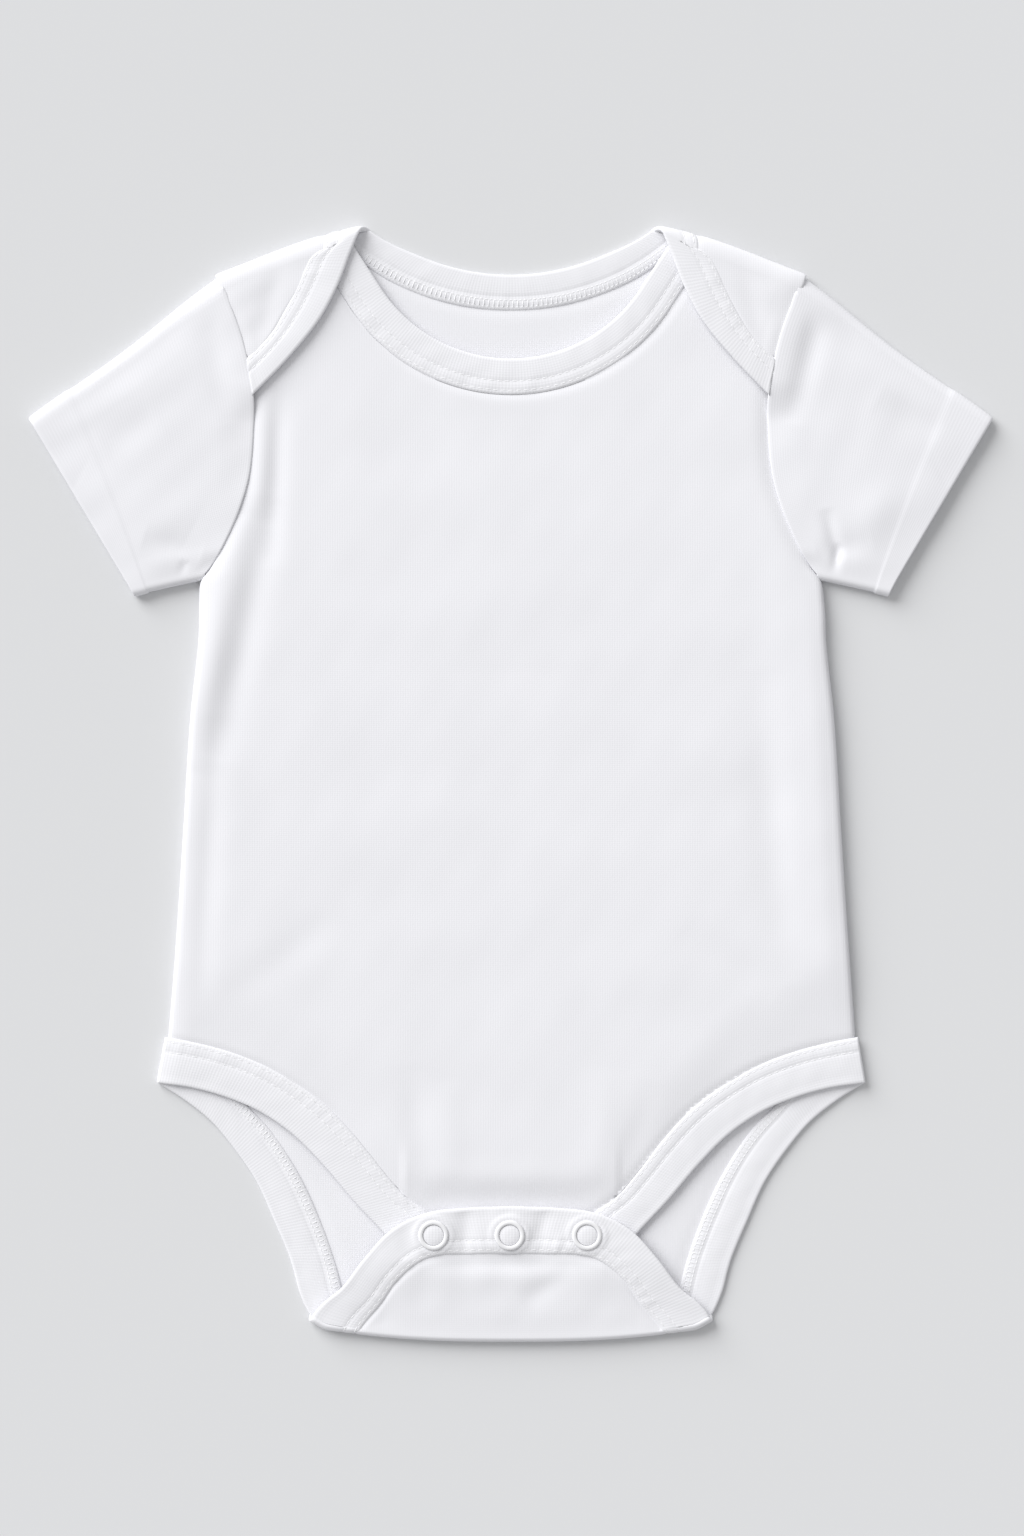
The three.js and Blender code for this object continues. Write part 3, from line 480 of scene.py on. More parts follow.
def toned_material(name, grain, detail, dark, light):
    """A new material whose tone varies between two colours: it, its nodes, links, shader and noise."""
    material = bpy.data.materials.new(name)
    material.use_nodes = True
    nodes, links = material.node_tree.nodes, material.node_tree.links
    shader = nodes["Principled BSDF"]
    coordinates = nodes.new("ShaderNodeTexCoord")
    noise = nodes.new("ShaderNodeTexNoise")
    noise.inputs["Scale"].default_value = grain
    noise.inputs["Detail"].default_value = detail
    links.new(coordinates.outputs["Object"], noise.inputs["Vector"])
    tone = nodes.new("ShaderNodeMix")
    tone.data_type = "RGBA"
    tone.inputs[6].default_value = (*dark, 1)
    tone.inputs[7].default_value = (*light, 1)
    links.new(noise.outputs["Fac"], tone.inputs[0])
    links.new(tone.outputs[2], shader.inputs["Base Color"])
    return material, nodes, links, shader, noise


def cloth_material(name, colour, wale, course, depth):
    """White cotton knit: fine wales and courses, a little fuzz and a faint unevenness of tone."""
    dark = [c * 0.975 for c in colour]
    material, nodes, links, shader, _ = toned_material(name, 45, 5, dark, colour)
    shader.inputs["Roughness"].default_value = 0.92
    shader.inputs["Sheen Weight"].default_value = 0.18
    shader.inputs["Sheen Roughness"].default_value = 0.5
    shader.inputs["Specular IOR Level"].default_value = 0.25
    coordinates = nodes.new("ShaderNodeTexCoord")
    uv = nodes.new("ShaderNodeUVMap")
    uv.uv_map = "cloth"
    heights = []
    for direction, size, weight in (("X", wale, 1.0), ("Y", course, 0.55)):
        wave = nodes.new("ShaderNodeTexWave")
        wave.wave_type = "BANDS"
        wave.bands_direction = direction
        wave.inputs["Scale"].default_value = 1 / size / 3.18
        wave.inputs["Distortion"].default_value = 1.2
        wave.inputs["Detail"].default_value = 2
        wave.inputs["Detail Scale"].default_value = 1.6
        links.new(uv.outputs["UV"], wave.inputs["Vector"])
        heights.append((wave, weight))
    fuzz = nodes.new("ShaderNodeTexNoise")
    fuzz.inputs["Scale"].default_value = 1900
    fuzz.inputs["Detail"].default_value = 3
    links.new(coordinates.outputs["Object"], fuzz.inputs["Vector"])
    total = None
    for wave, weight in heights:
        scaled = nodes.new("ShaderNodeMath")
        scaled.operation = "MULTIPLY"
        scaled.inputs[1].default_value = weight
        links.new(wave.outputs["Fac"], scaled.inputs[0])
        if total is None:
            total = scaled
        else:
            both = nodes.new("ShaderNodeMath")
            links.new(total.outputs[0], both.inputs[0])
            links.new(scaled.outputs[0], both.inputs[1])
            total = both
    mixed = nodes.new("ShaderNodeMath")
    links.new(total.outputs[0], mixed.inputs[0])
    links.new(fuzz.outputs["Fac"], mixed.inputs[1])
    bump = nodes.new("ShaderNodeBump")
    bump.inputs["Strength"].default_value = 0.6
    bump.inputs["Distance"].default_value = depth
    links.new(mixed.outputs[0], bump.inputs["Height"])
    links.new(bump.outputs["Normal"], shader.inputs["Normal"])
    return material


def thread_material():
    material, _, _, shader, _ = toned_material("thread", 2600, 2, (0.80, 0.80, 0.82), (0.90, 0.90, 0.92))
    shader.inputs["Roughness"].default_value = 0.6
    shader.inputs["Sheen Weight"].default_value = 0.2
    return material


def enamel_material():
    dark, light = (0.80, 0.80, 0.82), (0.86, 0.86, 0.88)
    material, nodes, links, shader, wear = toned_material("snap_enamel", 600, 3, dark, light)
    shader.inputs["Roughness"].default_value = 0.32
    shader.inputs["Coat Weight"].default_value = 0.25
    shader.inputs["Coat Roughness"].default_value = 0.2
    bump = nodes.new("ShaderNodeBump")
    bump.inputs["Strength"].default_value = 0.15
    bump.inputs["Distance"].default_value = 0.00003
    links.new(wear.outputs["Fac"], bump.inputs["Height"])
    links.new(bump.outputs["Normal"], shader.inputs["Normal"])
    return material


COTTON = (0.815, 0.815, 0.848)
RIB = (0.82, 0.82, 0.851)
cotton = cloth_material("cotton_knit", COTTON, 0.00085, 0.0007, 0.000025)
ribbing = cloth_material("rib_knit", RIB, 0.0011, 0.0009, 0.000035)
thread = thread_material()
enamel = enamel_material()


# Panels

def neck_top(x):
    """Upper edge of the front panel: the neck binding's seam, then the shoulder fold."""
    half = np.abs(x)
    seam = FRONT_NECK["radius"] + FRONT_NECK["width"]
    turn_x = seam * math.sin(FRONT_NECK["turn"])
    turn_y = FRONT_NECK["centre"] - seam * math.cos(FRONT_NECK["turn"])
    arc = FRONT_NECK["centre"] - np.sqrt(np.maximum(seam**2 - half**2, 0))
    run = turn_y + (half - turn_x) * math.tan(FRONT_NECK["turn"])
    return np.minimum(np.where(half < turn_x, arc, run), shoulder_fold(half) - 3.2)


def panel_relief(x, y, seed):
    """Small uneven creases all over a laid panel."""
    broad = waves(x, y, 46, seed) * 0.16
    fine = waves(x, y, 15, seed + 1) * 0.045
    return broad + fine


def between(lines, low, high, soft=1.0):
    """Rows of a grid at fixed places, squeezed softly between each column's ends, with a fine rim there."""
    inner, outer = low + RIM[-1], high - RIM[-1]
    y = inner + (lines - inner + np.hypot(lines - inner, soft)) / 2
    y = outer - (outer - y + np.hypot(outer - y, soft)) / 2
    under = [low + d for d in RIM[:-1]]
    over = [high - d for d in RIM[-2::-1]]
    return np.concatenate([np.stack([row[0] for row in under]), y, np.stack([row[-1] for row in over])])


def steepness(edge, x):
    return np.hypot(1, edge(x + 0.5) - edge(x - 0.5))


def panel_grid(bottom, top, half_width, step):
    """Plan of a panel between two edges across it, on a regular grid of columns and rows."""
    low_side, high_side = HIP + 0.5, SHOULDER_POINT - 3
    width = 2 * float(half_width(np.array(low_side)))
    across = spaced(width, step) * 2 - 1
    places = np.arange(-196, 196, step * 1.1)[:, None]
    side = half_width(np.clip(places, low_side, high_side))
    x = across[None, :] * side
    y = between(places, bottom(x), top(x))
    ends = len(RIM) - 1
    x = np.concatenate([np.repeat(x[:1], ends, 0), x, np.repeat(x[-1:], ends, 0)])
    rim = edge_factor((across[None, :] + 1) / 2, width, 1.2) * np.ones_like(x)
    to_low, to_high = (y - bottom(x)) / steepness(bottom, x), (top(x) - y) / steepness(top, x)
    return x, y, rim, to_low, to_high


def round_rim(distance, radius):
    return np.sqrt(1 - (1 - np.clip(distance / radius, 0.02, 1)) ** 2)


def front_half_width(y):
    below = smoothstep(-y, -UNDERARM - 6, -UNDERARM)
    return side_at(y) - lerp(-TUCK * 0.3, CLOTH / 2, below)


def front_panel():
    def bottom(x):
        half = np.abs(x)
        seam = read(FRONT_LEG_SEAM, "x", "y", np.maximum(half, 22))
        return np.where(half < 22, TAB_END, seam) - TUCK * 1.2

    def top(x):
        return neck_top(x) + np.where(np.abs(x) < 66, TUCK, 0)

    x, y, rim, to_low, to_high = panel_grid(bottom, top, front_half_width, 1.4)
    to_side = side_at(y) - np.abs(x)
    seam_dip = 0.35 * np.exp(-(((to_low - TUCK) / 0.9) ** 2))
    seam_dip += 0.35 * np.exp(-(((to_high - TUCK) / 1.1) ** 2))
    armhole = smoothstep(y, UNDERARM - 4, UNDERARM + 10)
    seam_dip += armhole * 0.2 * np.exp(-((np.maximum(to_side, 0) / 1.4) ** 2))
    z = front_height(x, y) + panel_relief(x, y, 3) - seam_dip
    mid = np.stack([x, y, z], -1)
    rim = rim * round_rim(to_low, 1.2) * round_rim(to_high, 1.2)
    return Shell(mid, CLOTH * lerp(0.35, 1, rim), flip=True)


def back_sheet():
    def bottom(x):
        half = np.abs(x)
        fold_y = crotch_fold(half) + (FLAP_FOLD - FLAT) / 2 + CLOTH / 2
        leg = read(BACK_LEG_SEAM, "x", "y", np.maximum(half, 54.9)) - TUCK * 1.2
        return np.where(half < 54.9, fold_y, np.maximum(leg, fold_y))

    def top(x):
        half = np.abs(x)
        seam = BACK_NECK["radius"] + BACK_NECK["width"] - TUCK
        arc = BACK_NECK["centre"] - np.sqrt(np.maximum(seam**2 - half**2, 0))
        fold = shoulder_fold(half) - 2.75
        return np.where(half < 58, arc, np.minimum(np.where(half < 80, arc, fold), fold))

    def half_width(y):
        return side_at(y) - SEAM / 2

    x, y, rim, to_low, to_high = panel_grid(bottom, top, half_width, 2.0)
    mid = np.stack([x, y, np.full_like(x, FLAT)], -1)
    seam_dip = 0.3 * np.exp(-(((to_low - TUCK) / 1.3) ** 2)) + 0.3 * np.exp(-(((to_high - TUCK) / 1.3) ** 2))
    rise = np.maximum(waves(x, y, 38, 11) * 0.16 + 0.14, 0) - seam_dip
    rim = rim * round_rim(to_low, 1.0) * round_rim(to_high, 1.0)
    return Shell(mid, CLOTH * lerp(0.5, 1, rim), inner=rise)


def lap(side):
    """The back's shoulder: it turns over the shoulder fold and lies on the front."""
    seam, corner_from, corner_to = ROUTES["lap_seam"], np.array([103.4, 175.4]), np.array([93.6, 151.2])
    along = np.concatenate([np.linspace(-1, 0, 20)[:-1], spaced(LAP["long"], 1.0)])
    a, b = np.meshgrid(along, spaced(LAP["wide"], 1.0), indexing="ij")
    t, ones = np.clip(a, 0, 1), np.ones_like(a)

    def face(x, y):
        to_side = np.maximum(side_at(y) - x, 0)
        seam_dip = 0.15 * np.exp(-((to_side / 1.4) ** 2))
        return lap_height(x * side, y) - seam_dip + waves(x, y, 12, 21 + side) * 0.1

    fold_x = lerp(63.4, 103.3, b)
    top = on_fold(shoulder_fold, 1, fold_x, ones, FLAT, LAP_TOP, CLOTH)[..., :2]
    high = face(top[..., 0], top[..., 1])
    tuck = (LAP_TOP - FLAT) / (high - FLAT)
    over = on_fold(shoulder_fold, 1, fold_x, 1 + np.clip(a, -1, 0), FLAT, high, CLOTH, tuck)
    into_seam = np.array([TUCK, TUCK * 0.4])
    xy = lerp(seam(t * 0.97) - into_seam, lerp(corner_from, corner_to, t[..., None]), b[..., None])
    first = lerp(seam(0 * t) - into_seam, corner_from, b[..., None])
    xy += (top - first) * (1 - smoothstep(t, 0, 0.6))[..., None]
    x = np.minimum(xy[..., 0], side_at(xy[..., 1]) + TUCK * 0.3)
    front = np.stack([x, xy[..., 1], face(x, xy[..., 1])], -1)
    mid = np.where((a >= 0)[..., None], front, over)
    mid[..., 0] *= side
    edge = edge_factor(b, LAP["wide"], 1.0) * np.where(a > 0.5, edge_factor(t, LAP["long"], 1.0), 1)
    sink = -0.35 * np.exp(-((np.maximum(b * LAP["wide"] - TUCK, 0) / 1.3) ** 2))
    return Shell(mid, CLOTH * lerp(0.4, 1, edge), flip=side < 0, outer=sink)


def flap():
    """The back's crotch flap: it turns up over the crotch fold and lies on the front's tab."""
    half = FLAP["half"]
    along = np.concatenate([np.linspace(-1, 0, 20)[:-1], np.linspace(0, 1, 30)])
    a, b = np.meshgrid(along, spaced(2 * half, 1.0) * 2 - 1, indexing="ij")
    x = b * half
    t = np.clip(a, 0, 1)
    high = flap_height(x, crotch_fold(x) + 3)
    over = on_fold(crotch_fold, -1, x, 1 + np.clip(a, -1, 0), FLAT, high, CLOTH)
    start = on_fold(crotch_fold, -1, x, np.ones_like(x), FLAT, FLAP_FOLD, CLOTH)[..., 1]
    seam = read(FLAP_SEAM, "x", "y", np.abs(x))
    y = lerp(start, np.maximum(seam + TUCK, start + 0.6), t)
    front = np.stack([x, y, flap_height(x, y)], -1)
    mid = np.where((a > 0)[..., None], front, over)
    seam_dip = 0.35 * np.exp(-(((seam - y) / 1.4) ** 2))
    mid[..., 2] += np.where(a > 0, waves(x, y, 16, 31) * 0.12 * smoothstep(t, 0, 0.4) - seam_dip, 0)
    edge = np.where(a > 0.5, edge_factor(t, FLAP["long"], 1.0), 1) * edge_factor((b + 1) / 2, 2 * half, 1.0)
    return Shell(mid, CLOTH * lerp(0.4, 1, edge), flip=True)


# Bindings

BAND_STITCHES = (1.5, 4.8)
SEAM_SINK = 0.28
LOOPS = {"from_seam": 2.4, "tall": 2.4, "apart": 1.7, "wide": 0.4}
LOOP_RISE = {"neck_back": 0.16, "leg_back": 0.07}


def band_relief(along_mm, from_seam, seed):
    """A binding's face: two pressed stitch lines near its seam, with small puckers beside them."""
    press = sum(np.exp(-(((from_seam - d) / 0.6) ** 2)) for d in BAND_STITCHES)
    zero = np.zeros_like(along_mm)
    beside = np.exp(-(((from_seam - 2.8) / 2.6) ** 2))
    pucker = waves(along_mm, zero + 3.0, 3.4, seed, 5) * 0.05
    pucker += waves(along_mm, zero, 8.0, seed + 1, 5) * 0.07
    swell = 0.12 * np.sin(np.clip((from_seam - 4.6) / 8.0, 0, 1) * math.pi)
    return -0.12 * press + pucker * beside + swell + waves(along_mm, from_seam, 9, seed + 2) * 0.04


def band_shell(place, length, width, seed, flip, seam_side=1, sides=("outer",), symmetric=True):
    """A binding on a grid: place(a, b) is its middle, b running from its free edge to its seam."""
    places = spaced(length, 0.9)
    a = places * 2 - 1 if symmetric else places
    b = spaced(width, 0.42, (0.0, 0.12, 0.35, 0.75))
    a, b = np.meshgrid(a, b, indexing="ij")
    mid = place(a, b)
    along = (a + 1) * length / 2 if symmetric else a * length
    relief = band_relief(along, (1 - b) * width, seed)
    span = (a + 1) / 2 if symmetric else a
    edge = edge_factor(b, width, 0.85) * edge_factor(span, length, 0.8)
    relief = relief * edge - SEAM_SINK * np.exp(-(((1 - b) * width) ** 2))
    grow = {side: (relief if side in sides else None) for side in ("outer", "inner")}
    shell = Shell(mid, BAND * lerp(0.3, 1, edge), flip=flip, outer=grow["outer"], inner=grow["inner"])
    shell.places = b[0]
    shell.width = width
    return shell


def in_turn(share, first, second, last):
    """Three stretches of one binding, each with the share where it ends."""
    later = np.where((share <= second[0])[..., None], second[1], last)
    return np.where((share <= first[0])[..., None], first[1], later)


def mirrored(points, side):
    return points * np.stack([side, np.ones_like(side), np.ones_like(side)], -1)


def front_neckband():
    arc_share = 0.72

    def place(a, b):
        share = np.abs(a)
        turn = FRONT_NECK["turn"] * np.minimum(share / arc_share, 1)
        run = lerp(FRONT_NECK["inner"], FRONT_NECK["outer"], b)
        run = run * np.maximum(share - arc_share, 0) / (1 - arc_share)
        reach = FRONT_NECK["radius"] + b * FRONT_NECK["width"]
        x = np.sin(turn) * reach + np.cos(turn) * run
        y = FRONT_NECK["centre"] - np.cos(turn) * reach + np.sin(turn) * run
        x = x * np.where(a < 0, -1, 1)
        return np.stack([x, y, front_height(x, y)], -1)

    return band_shell(place, BINDINGS["neck_front"], FRONT_NECK["width"], 41, flip=True)


def back_neckband():
    arc_end, fold_end = 0.46, 0.6

    def place(a, b):
        share, side = np.abs(a), np.where(a < 0, -1, 1)
        fold_x = lerp(LAP_FOLD["outer"], LAP_FOLD["inner"], b)
        tuck = lerp(0.3, 0.9, smoothstep(b, 0, 0.8))
        one = np.ones_like(a)
        top = on_fold(shoulder_fold, 1, fold_x, one, FLAT_BAND, LAP_TOP, BAND, tuck)
        high = lap_height(top[..., 0], top[..., 1])
        under = on_fold(shoulder_fold, 1, fold_x - LAP_FOLD["shift"], 0 * one, FLAT_BAND, high, BAND, tuck)
        r = BACK_NECK["radius"] + b * BACK_NECK["width"]
        full = np.arctan2(under[..., 0], BACK_NECK["centre"] - under[..., 1])
        arc = np.clip(share / arc_end, 0, 1)
        grow = np.hypot(under[..., 0], BACK_NECK["centre"] - under[..., 1]) - r
        reach = r + grow * smoothstep(arc, 0.6, 1)
        flat = np.stack([reach * np.sin(full * arc), BACK_NECK["centre"] - reach * np.cos(full * arc),
                         FLAT_BAND * one], -1)
        t = np.clip((share - arc_end) / (fold_end - arc_end), 0, 1)
        turn_x = fold_x - LAP_FOLD["shift"] * (1 - t)
        over = on_fold(shoulder_fold, 1, turn_x, t, FLAT_BAND, high, BAND, tuck)
        t = np.clip((share - fold_end) / (1 - fold_end), 0, 1)
        start = on_fold(shoulder_fold, 1, fold_x, one, FLAT_BAND, high, BAND, tuck)[..., :2]
        xy = lerp(ROUTES["lap_edge"](t), ROUTES["lap_seam"](t), b[..., None])
        xy = lerp(xy, start, (1 - smoothstep(t, 0, 0.12))[..., None])
        x = np.minimum(xy[..., 0], side_at(xy[..., 1]) + 0.3)
        lift = 0.45 * (1 - b) ** 1.5 * np.sin(math.pi * np.clip(t * 1.05, 0, 1))
        front = np.stack([x, xy[..., 1], lap_height(x, xy[..., 1]) + lift], -1)
        return mirrored(in_turn(share, (arc_end, flat), (fold_end, over), front), side)

    faces = ("outer", "inner")
    return band_shell(place, BINDINGS["neck_back"], BACK_NECK["width"], 51, flip=False, sides=faces)


def front_leg_band(side):
    def place(a, b):
        xy = lerp(ROUTES["front_leg_seam"](a), ROUTES["front_leg_edge"](a), (1 - b)[..., None])
        reach = band_side_at(xy[..., 1]) - BAND / 2 + 0.9
        x = np.minimum(xy[..., 0], reach)
        z = front_height(x * side, xy[..., 1], reach, EDGE_LOW_BAND)
        return np.stack([x * side, xy[..., 1], z], -1)

    return band_shell(place, BINDINGS["leg_front"], LEG_WIDTH, 61 + side, flip=side > 0, symmetric=False)


def back_leg_band():
    flap_end, fold_end = 0.46, 0.54

    def place(a, b):
        share, side = np.abs(a), np.where(a < 0, -1, 1)
        zero, one = np.zeros(1), np.ones(1)
        top = lerp(ROUTES["flap_edge"](zero), ROUTES["flap_seam"](zero), b[..., None])
        under = lerp(ROUTES["back_leg_edge"](one), ROUTES["back_leg_seam"](one), b[..., None])
        high = flap_height(top[..., 0], top[..., 1])
        ones = np.ones_like(a)
        t = np.clip(1 - share / flap_end, 0, 1)
        start = on_fold(crotch_fold, -1, top[..., 0], ones, FLAT_BAND, high, BAND)[..., :2]
        xy = lerp(ROUTES["flap_edge"](t), ROUTES["flap_seam"](t), b[..., None])
        xy = lerp(xy, start, (1 - smoothstep(t, 0, 0.1))[..., None])
        x = xy[..., 0] * side
        swell = 0
        for at in SNAPS.values():
            from_ring = np.hypot(x - at, xy[..., 1] - SNAP_Y) - SNAP_SWELL["radius"]
            swell = swell + SNAP_SWELL["rise"] * np.exp(-(from_ring**2))
        front = np.stack([xy[..., 0], xy[..., 1], flap_height(x, xy[..., 1]) + swell], -1)
        t = np.clip(1 - (share - flap_end) / (fold_end - flap_end), 0, 1)
        over = on_fold(crotch_fold, -1, lerp(under[..., 0], top[..., 0], t), t, FLAT_BAND, high, BAND)
        t = np.clip(1 - (share - fold_end) / (1 - fold_end), 0, 1)
        start = on_fold(crotch_fold, -1, under[..., 0], 0 * ones, FLAT_BAND, high, BAND)[..., :2]
        xy = lerp(ROUTES["back_leg_edge"](t), ROUTES["back_leg_seam"](t), b[..., None])
        xy = lerp(xy, start, smoothstep(t, 0.9, 1)[..., None])
        flat = np.stack([xy[..., 0], xy[..., 1], FLAT_BAND * ones], -1)
        return mirrored(in_turn(share, (flap_end, front), (fold_end, over), flat), side)

    return band_shell(place, BINDINGS["leg_back"], LEG_WIDTH, 71, flip=True, sides=("outer", "inner"))


# Sleeves

def sleeve(side):
    """A flattened tube: its front layer, the lower fold, its back layer and the upper fold, all round."""
    hem_top, hem_bottom, length_mm = np.array(SLEEVE["tip"]), np.array(SLEEVE["corner"]), SLEEVE["long"]
    hem_start = 1 - SLEEVE["hem"] / length_mm
    parts = (0.42, 0.5, 0.92)
    counts = ((0, parts[0], 96), (parts[0], parts[1], 9), (parts[1], parts[2], 60), (parts[2], 1, 9))
    around = np.concatenate([[0], *(np.linspace(*row)[1:] for row in counts)])[:-1]
    a, b = np.meshgrid(spaced(length_mm, 0.95), around, indexing="ij")
    top = lerp(np.array([side_at(SHOULDER_POINT) + SEAM / 2, SHOULDER_POINT + 0.5]), hem_top, a[..., None])
    top[..., 1] -= SLEEVE["sag"] * np.sin(math.pi * a) ** 1.8
    bottom = lerp(np.array([side_at(UNDERARM) + 1.6, UNDERARM]), hem_bottom, a[..., None])
    length = np.linalg.norm(bottom - top, axis=-1)
    upper_half = (b < parts[0] / 2) | (b > (parts[1] + parts[2]) / 2)
    lap_radius = lerp((LAP_TOP - FLAT) / 2, SLEEVE["radius"], smoothstep(a, 0, 0.3))
    radius = np.where(upper_half, lap_radius, SLEEVE["radius"])
    inset, soft_inset = (radius + CLOTH / 2) / length, (radius * SLEEVE_EASE + CLOTH / 2) / length
    thick = lerp(CLOTH, HEM, smoothstep(a, hem_start, hem_start + 0.02))

    def plan(t):
        p = lerp(top, bottom, t[..., None])
        y = lerp(SHOULDER_POINT, UNDERARM, t)
        straight = lerp(side_at(SHOULDER_POINT), side_at(UNDERARM) + 1.4, t)
        p[..., 0] += (side_at(y) - TUCK * 0.2 - straight) * (1 - a) ** 2
        return p

    def height(x, y):
        seam = front_height(side_at(y), y) + 0.5 + 1.85 * smoothstep(y, 126, 141)
        face = lerp(SLEEVE["face"], SLEEVE["hem_face"], smoothstep(a, 0.5, 1))
        folds = folded(SLEEVE_FOLDS[side], x, y) * smoothstep(a, 0, 0.1)
        return lerp(seam, face, smoothstep(a, 0, 0.18)) + folds

    t_front = np.clip(b / parts[0], 0, 1)
    t_back = 1 - np.clip((b - parts[1]) / (parts[2] - parts[1]), 0, 1)
    share = np.where(b <= parts[1], t_front, t_back)
    soft = (b <= parts[0]) | (b > (parts[2] + 1) / 2)
    xy = plan(lerp(np.where(soft, soft_inset, inset), 1 - inset, share))
    edge = np.minimum(t_front, 1 - t_front) * length
    high = FLAT + 2 * radius
    face = lerp(high, height(xy[..., 0], xy[..., 1]), smoothstep(edge, 0, 10)) - (thick - CLOTH) * 0.3
    out = (bottom - top) / length[..., None]
    lower = (b > parts[0]) & (b < parts[1])
    upper = b > parts[2]
    turn = np.where(lower, (b - parts[0]) / (parts[1] - parts[0]), (b - parts[2]) / (1 - parts[2]))
    way = np.where(lower, 1, -1)
    rolled = lower | upper
    reach = radius * np.where(soft, SLEEVE_EASE, 1)
    xy = xy + np.where(rolled, way * reach * np.sin(math.pi * np.clip(turn, 0, 1)), 0)[..., None] * out
    z_roll = FLAT + radius * (1 + way * np.cos(math.pi * turn))
    z_roll += (thick - CLOTH) * lerp(-0.3, 0.5, np.where(lower, turn, 1 - turn))
    z = np.where(rolled, z_roll, np.where(b <= parts[0], face, thick / 2))
    x = np.maximum(xy[..., 0], side_at(xy[..., 1]) - TUCK * 0.2) * side
    x -= side * SLEEVE["tucked"] * smoothstep(xy[..., 1], 166, 174) * smoothstep(z, 1, 3) * (1 - a) ** 8
    mid = np.stack([x, xy[..., 1], z], -1)
    uneven = waves(x, xy[..., 1], 17, 81 + side) * 0.12 * smoothstep(edge, 0, 12)
    mid[..., 2] += np.where(b < parts[0], uneven, 0)
    hem_line = length_mm - SLEEVE["hem"] + 0.6
    press = -0.22 * np.exp(-(((a * length_mm - hem_line) / 0.45) ** 2))
    round_edge = edge_factor(a, length_mm, 0.9)
    thick = thick * lerp(0.35, 1, round_edge)
    shell = Shell(mid, thick, flip=side < 0, wraps=True, outer=press * round_edge)
    shell.places = a[:, 0]
    shell.hem_row = hem_line / length_mm
    return shell


# Snaps

def turned_part(profile, centre, sides=96):
    """A turned closed body from (radius, height) rows, as quads."""
    profile = np.array(profile, float)
    turn = np.linspace(0, 2 * math.pi, sides, endpoint=False)
    ring = np.stack([np.cos(turn), np.sin(turn)], -1)
    rows = [np.column_stack([ring * r + centre[:2], np.full(sides, centre[2] + z)]) for r, z in profile]
    points = np.concatenate(rows)
    k = np.arange(sides)
    faces = []
    for i in range(len(profile) - 1):
        a, b = i * sides + k, i * sides + (k + 1) % sides
        faces.append(np.column_stack([a, b, b + sides, a + sides]))
    return points, np.concatenate(faces), points[:, :2] - centre[:2]


def snap_profile():
    """A snap's ring, from its inner edge over the top and back under it."""
    turns = np.linspace(0.05, math.pi - 0.05, 14)
    ring = [(4.42 - 0.66 * math.cos(t), 0.5 + 0.3 * math.sin(t)) for t in turns]
    lip = [(5.15, 0.5), (5.25, 0.3), (5.2, 0.12), (5.0, 0.0), (3.7, 0.0), (3.62, 0.2), (3.7, 0.38)]
    return ring + lip


def snap_cloth():
    """The cloth that swells up inside a snap's ring."""
    dome = [(0.02, 0.66)] + [(r, 0.66 - 0.36 * (r / 3.5) ** 3) for r in np.linspace(0.3, 3.5, 14)]
    return dome + [(3.56, 0.2), (3.5, 0.0), (0.02, 0.0)]


def put(name, parts, material, slot, *nodes):
    made = make_mesh(name, parts, material)
    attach(made, "root")
    if nodes:
        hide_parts(*nodes)
    return made


front = front_panel()
back = back_sheet()
laps = {side: lap(side) for side in (-1, 1)}
crotch = flap()
bands = {"neck_front": front_neckband(), "neck_back": back_neckband(), "leg_back": back_leg_band(),
         "leg_left": front_leg_band(-1), "leg_right": front_leg_band(1)}
sleeves = {"left": sleeve(-1), "right": sleeve(1)}

front_piece = put("front", [front.mesh_data(straight=True)], cotton, "cotton", "front_panel")
back_parts = [shell.mesh_data(straight=True) for shell in (back, crotch, laps[1], laps[-1])]
back_piece = put("back", back_parts, cotton, "cotton", "back_panel")
band_names = {"neck_front": "neckband_front", "neck_back": "neckband_back", "leg_back": "leg_band_back",
              "leg_left": "leg_band_front_left", "leg_right": "leg_band_front_right"}
band_pieces = {key: put(key + "_binding", [bands[key].mesh_data()], ribbing, "rib", node)
               for key, node in band_names.items()}
sleeve_pieces = {name: put("sleeve_of_" + name, [shell.mesh_data()], cotton, "cotton", "sleeve_" + name)
                 for name, shell in sleeves.items()}

for key, shell in bands.items():
    parts = []
    for distance in BAND_STITCHES:
        column = column_at(shell.places, 1 - distance / shell.width)
        parts += stitch_parts(*row_on(shell, column, slice(4, -4)))
    if key in ("neck_back", "leg_back"):
        # The loops of the seam's back show on the inside.
        column = column_at(shell.places, 1 - LOOPS["from_seam"] / shell.width)
        path, normal = row_on(shell, column, slice(4, -4), "inner")
        rise = LOOP_RISE[key]
        parts += stitch_parts(path, normal, LOOPS["tall"], LOOPS["apart"], LOOPS["wide"], rise, turned=True)
        for edge in (0.5, -0.5):
            column = column_at(shell.places, 1 - (LOOPS["from_seam"] + edge * LOOPS["tall"]) / shell.width)
            path, normal = row_on(shell, column, slice(4, -4), "inner")
            parts += stitch_parts(path, normal, LOOPS["apart"] * 0.8, LOOPS["apart"] * 0.2)
    put(key + "_stitches", parts, thread, "rib")
for name, shell in sleeves.items():
    row = column_at(shell.places, shell.hem_row)
    low = int(row)
    path = lerp(shell.outer[low], shell.outer[low + 1], row - low)
    loop = np.vstack([path, path[:1]])
    way = np.vstack([shell.normal[low], shell.normal[low][:1]])
    put("sleeve_stitches_" + name, stitch_parts(loop, way), thread, "cotton")

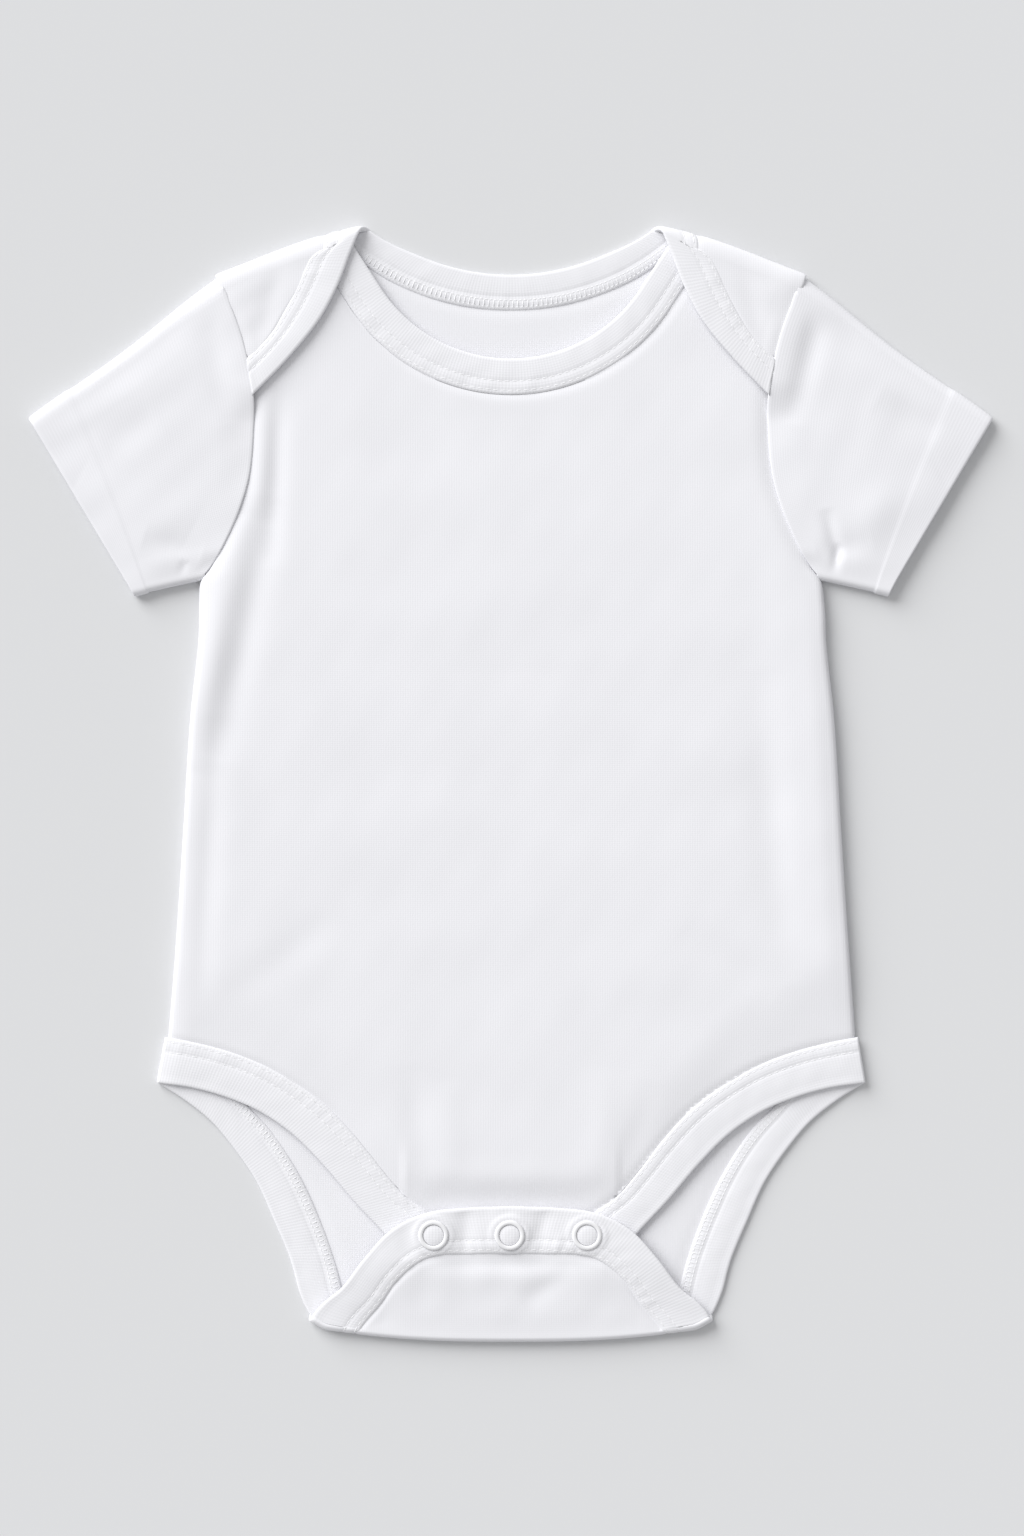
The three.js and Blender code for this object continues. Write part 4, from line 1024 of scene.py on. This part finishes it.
snap_shape, snap_middle = snap_profile(), snap_cloth()
for name, x in SNAPS.items():
    top = float(flap_height(np.array([float(x)]), np.array([SNAP_Y]))[0]) + BAND / 2 + 0.12
    place = np.array([x, SNAP_Y, top])
    ring = [turned_part((snap_shape + snap_shape[:1])[::-1], place)]
    put("snap_ring_" + name, ring, enamel, "snap", "snap_cap_" + name)
    put("snap_middle_" + name, [turned_part(snap_middle[::-1], place)], ribbing, "rib")
    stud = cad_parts["snap_stud_" + name]
    stud.data.materials.clear()
    stud.data.materials.append(enamel)


# Floor, light and camera

def floor():
    mesh = bpy.data.meshes.new("floor")
    half = 4.0
    corners = [(-half, -half, 0), (half, -half, 0), (half, half, 0), (-half, half, 0)]
    mesh.from_pydata(corners, [], [(0, 1, 2, 3)])
    made = bpy.data.objects.new("floor", mesh)
    bpy.context.scene.collection.objects.link(made)
    material = bpy.data.materials.new("pale_floor")
    material.use_nodes = True
    shader = material.node_tree.nodes["Principled BSDF"]
    shader.inputs["Base Color"].default_value = (0.695, 0.701, 0.714, 1)
    shader.inputs["Roughness"].default_value = 0.9
    shader.inputs["Specular IOR Level"].default_value = 0.1
    made.data.materials.append(material)


def sun(name, towards, strength, angle):
    light = bpy.data.lights.new(name, "SUN")
    light.energy = strength
    light.angle = math.radians(angle)
    made = bpy.data.objects.new(name, light)
    made.rotation_euler = Vector(towards).to_track_quat("-Z", "Y").to_euler()
    bpy.context.scene.collection.objects.link(made)


def camera():
    pixel = 0.35 * MM
    frame_height = 1536 * pixel
    distance = 1.8
    data = bpy.data.cameras.new("camera")
    data.sensor_fit = "VERTICAL"
    data.sensor_height = 24
    data.lens = data.sensor_height * distance / frame_height
    data.clip_start, data.clip_end = 0.01, 50
    made = bpy.data.objects.new("camera", data)
    made.location = ((512 - 510.8) * pixel, (784 - 768) * pixel, distance)
    bpy.context.scene.collection.objects.link(made)
    bpy.context.scene.camera = made


floor()
sun("key", (1.0, -1.05, -0.78), 3.5, 46)
world = bpy.data.worlds.new("studio")
world.use_nodes = True
world.node_tree.nodes["Background"].inputs["Color"].default_value = (1, 1, 1, 1)
world.node_tree.nodes["Background"].inputs["Strength"].default_value = 0.515
bpy.context.scene.world = world
bpy.context.scene.view_settings.view_transform = "Standard"
camera()
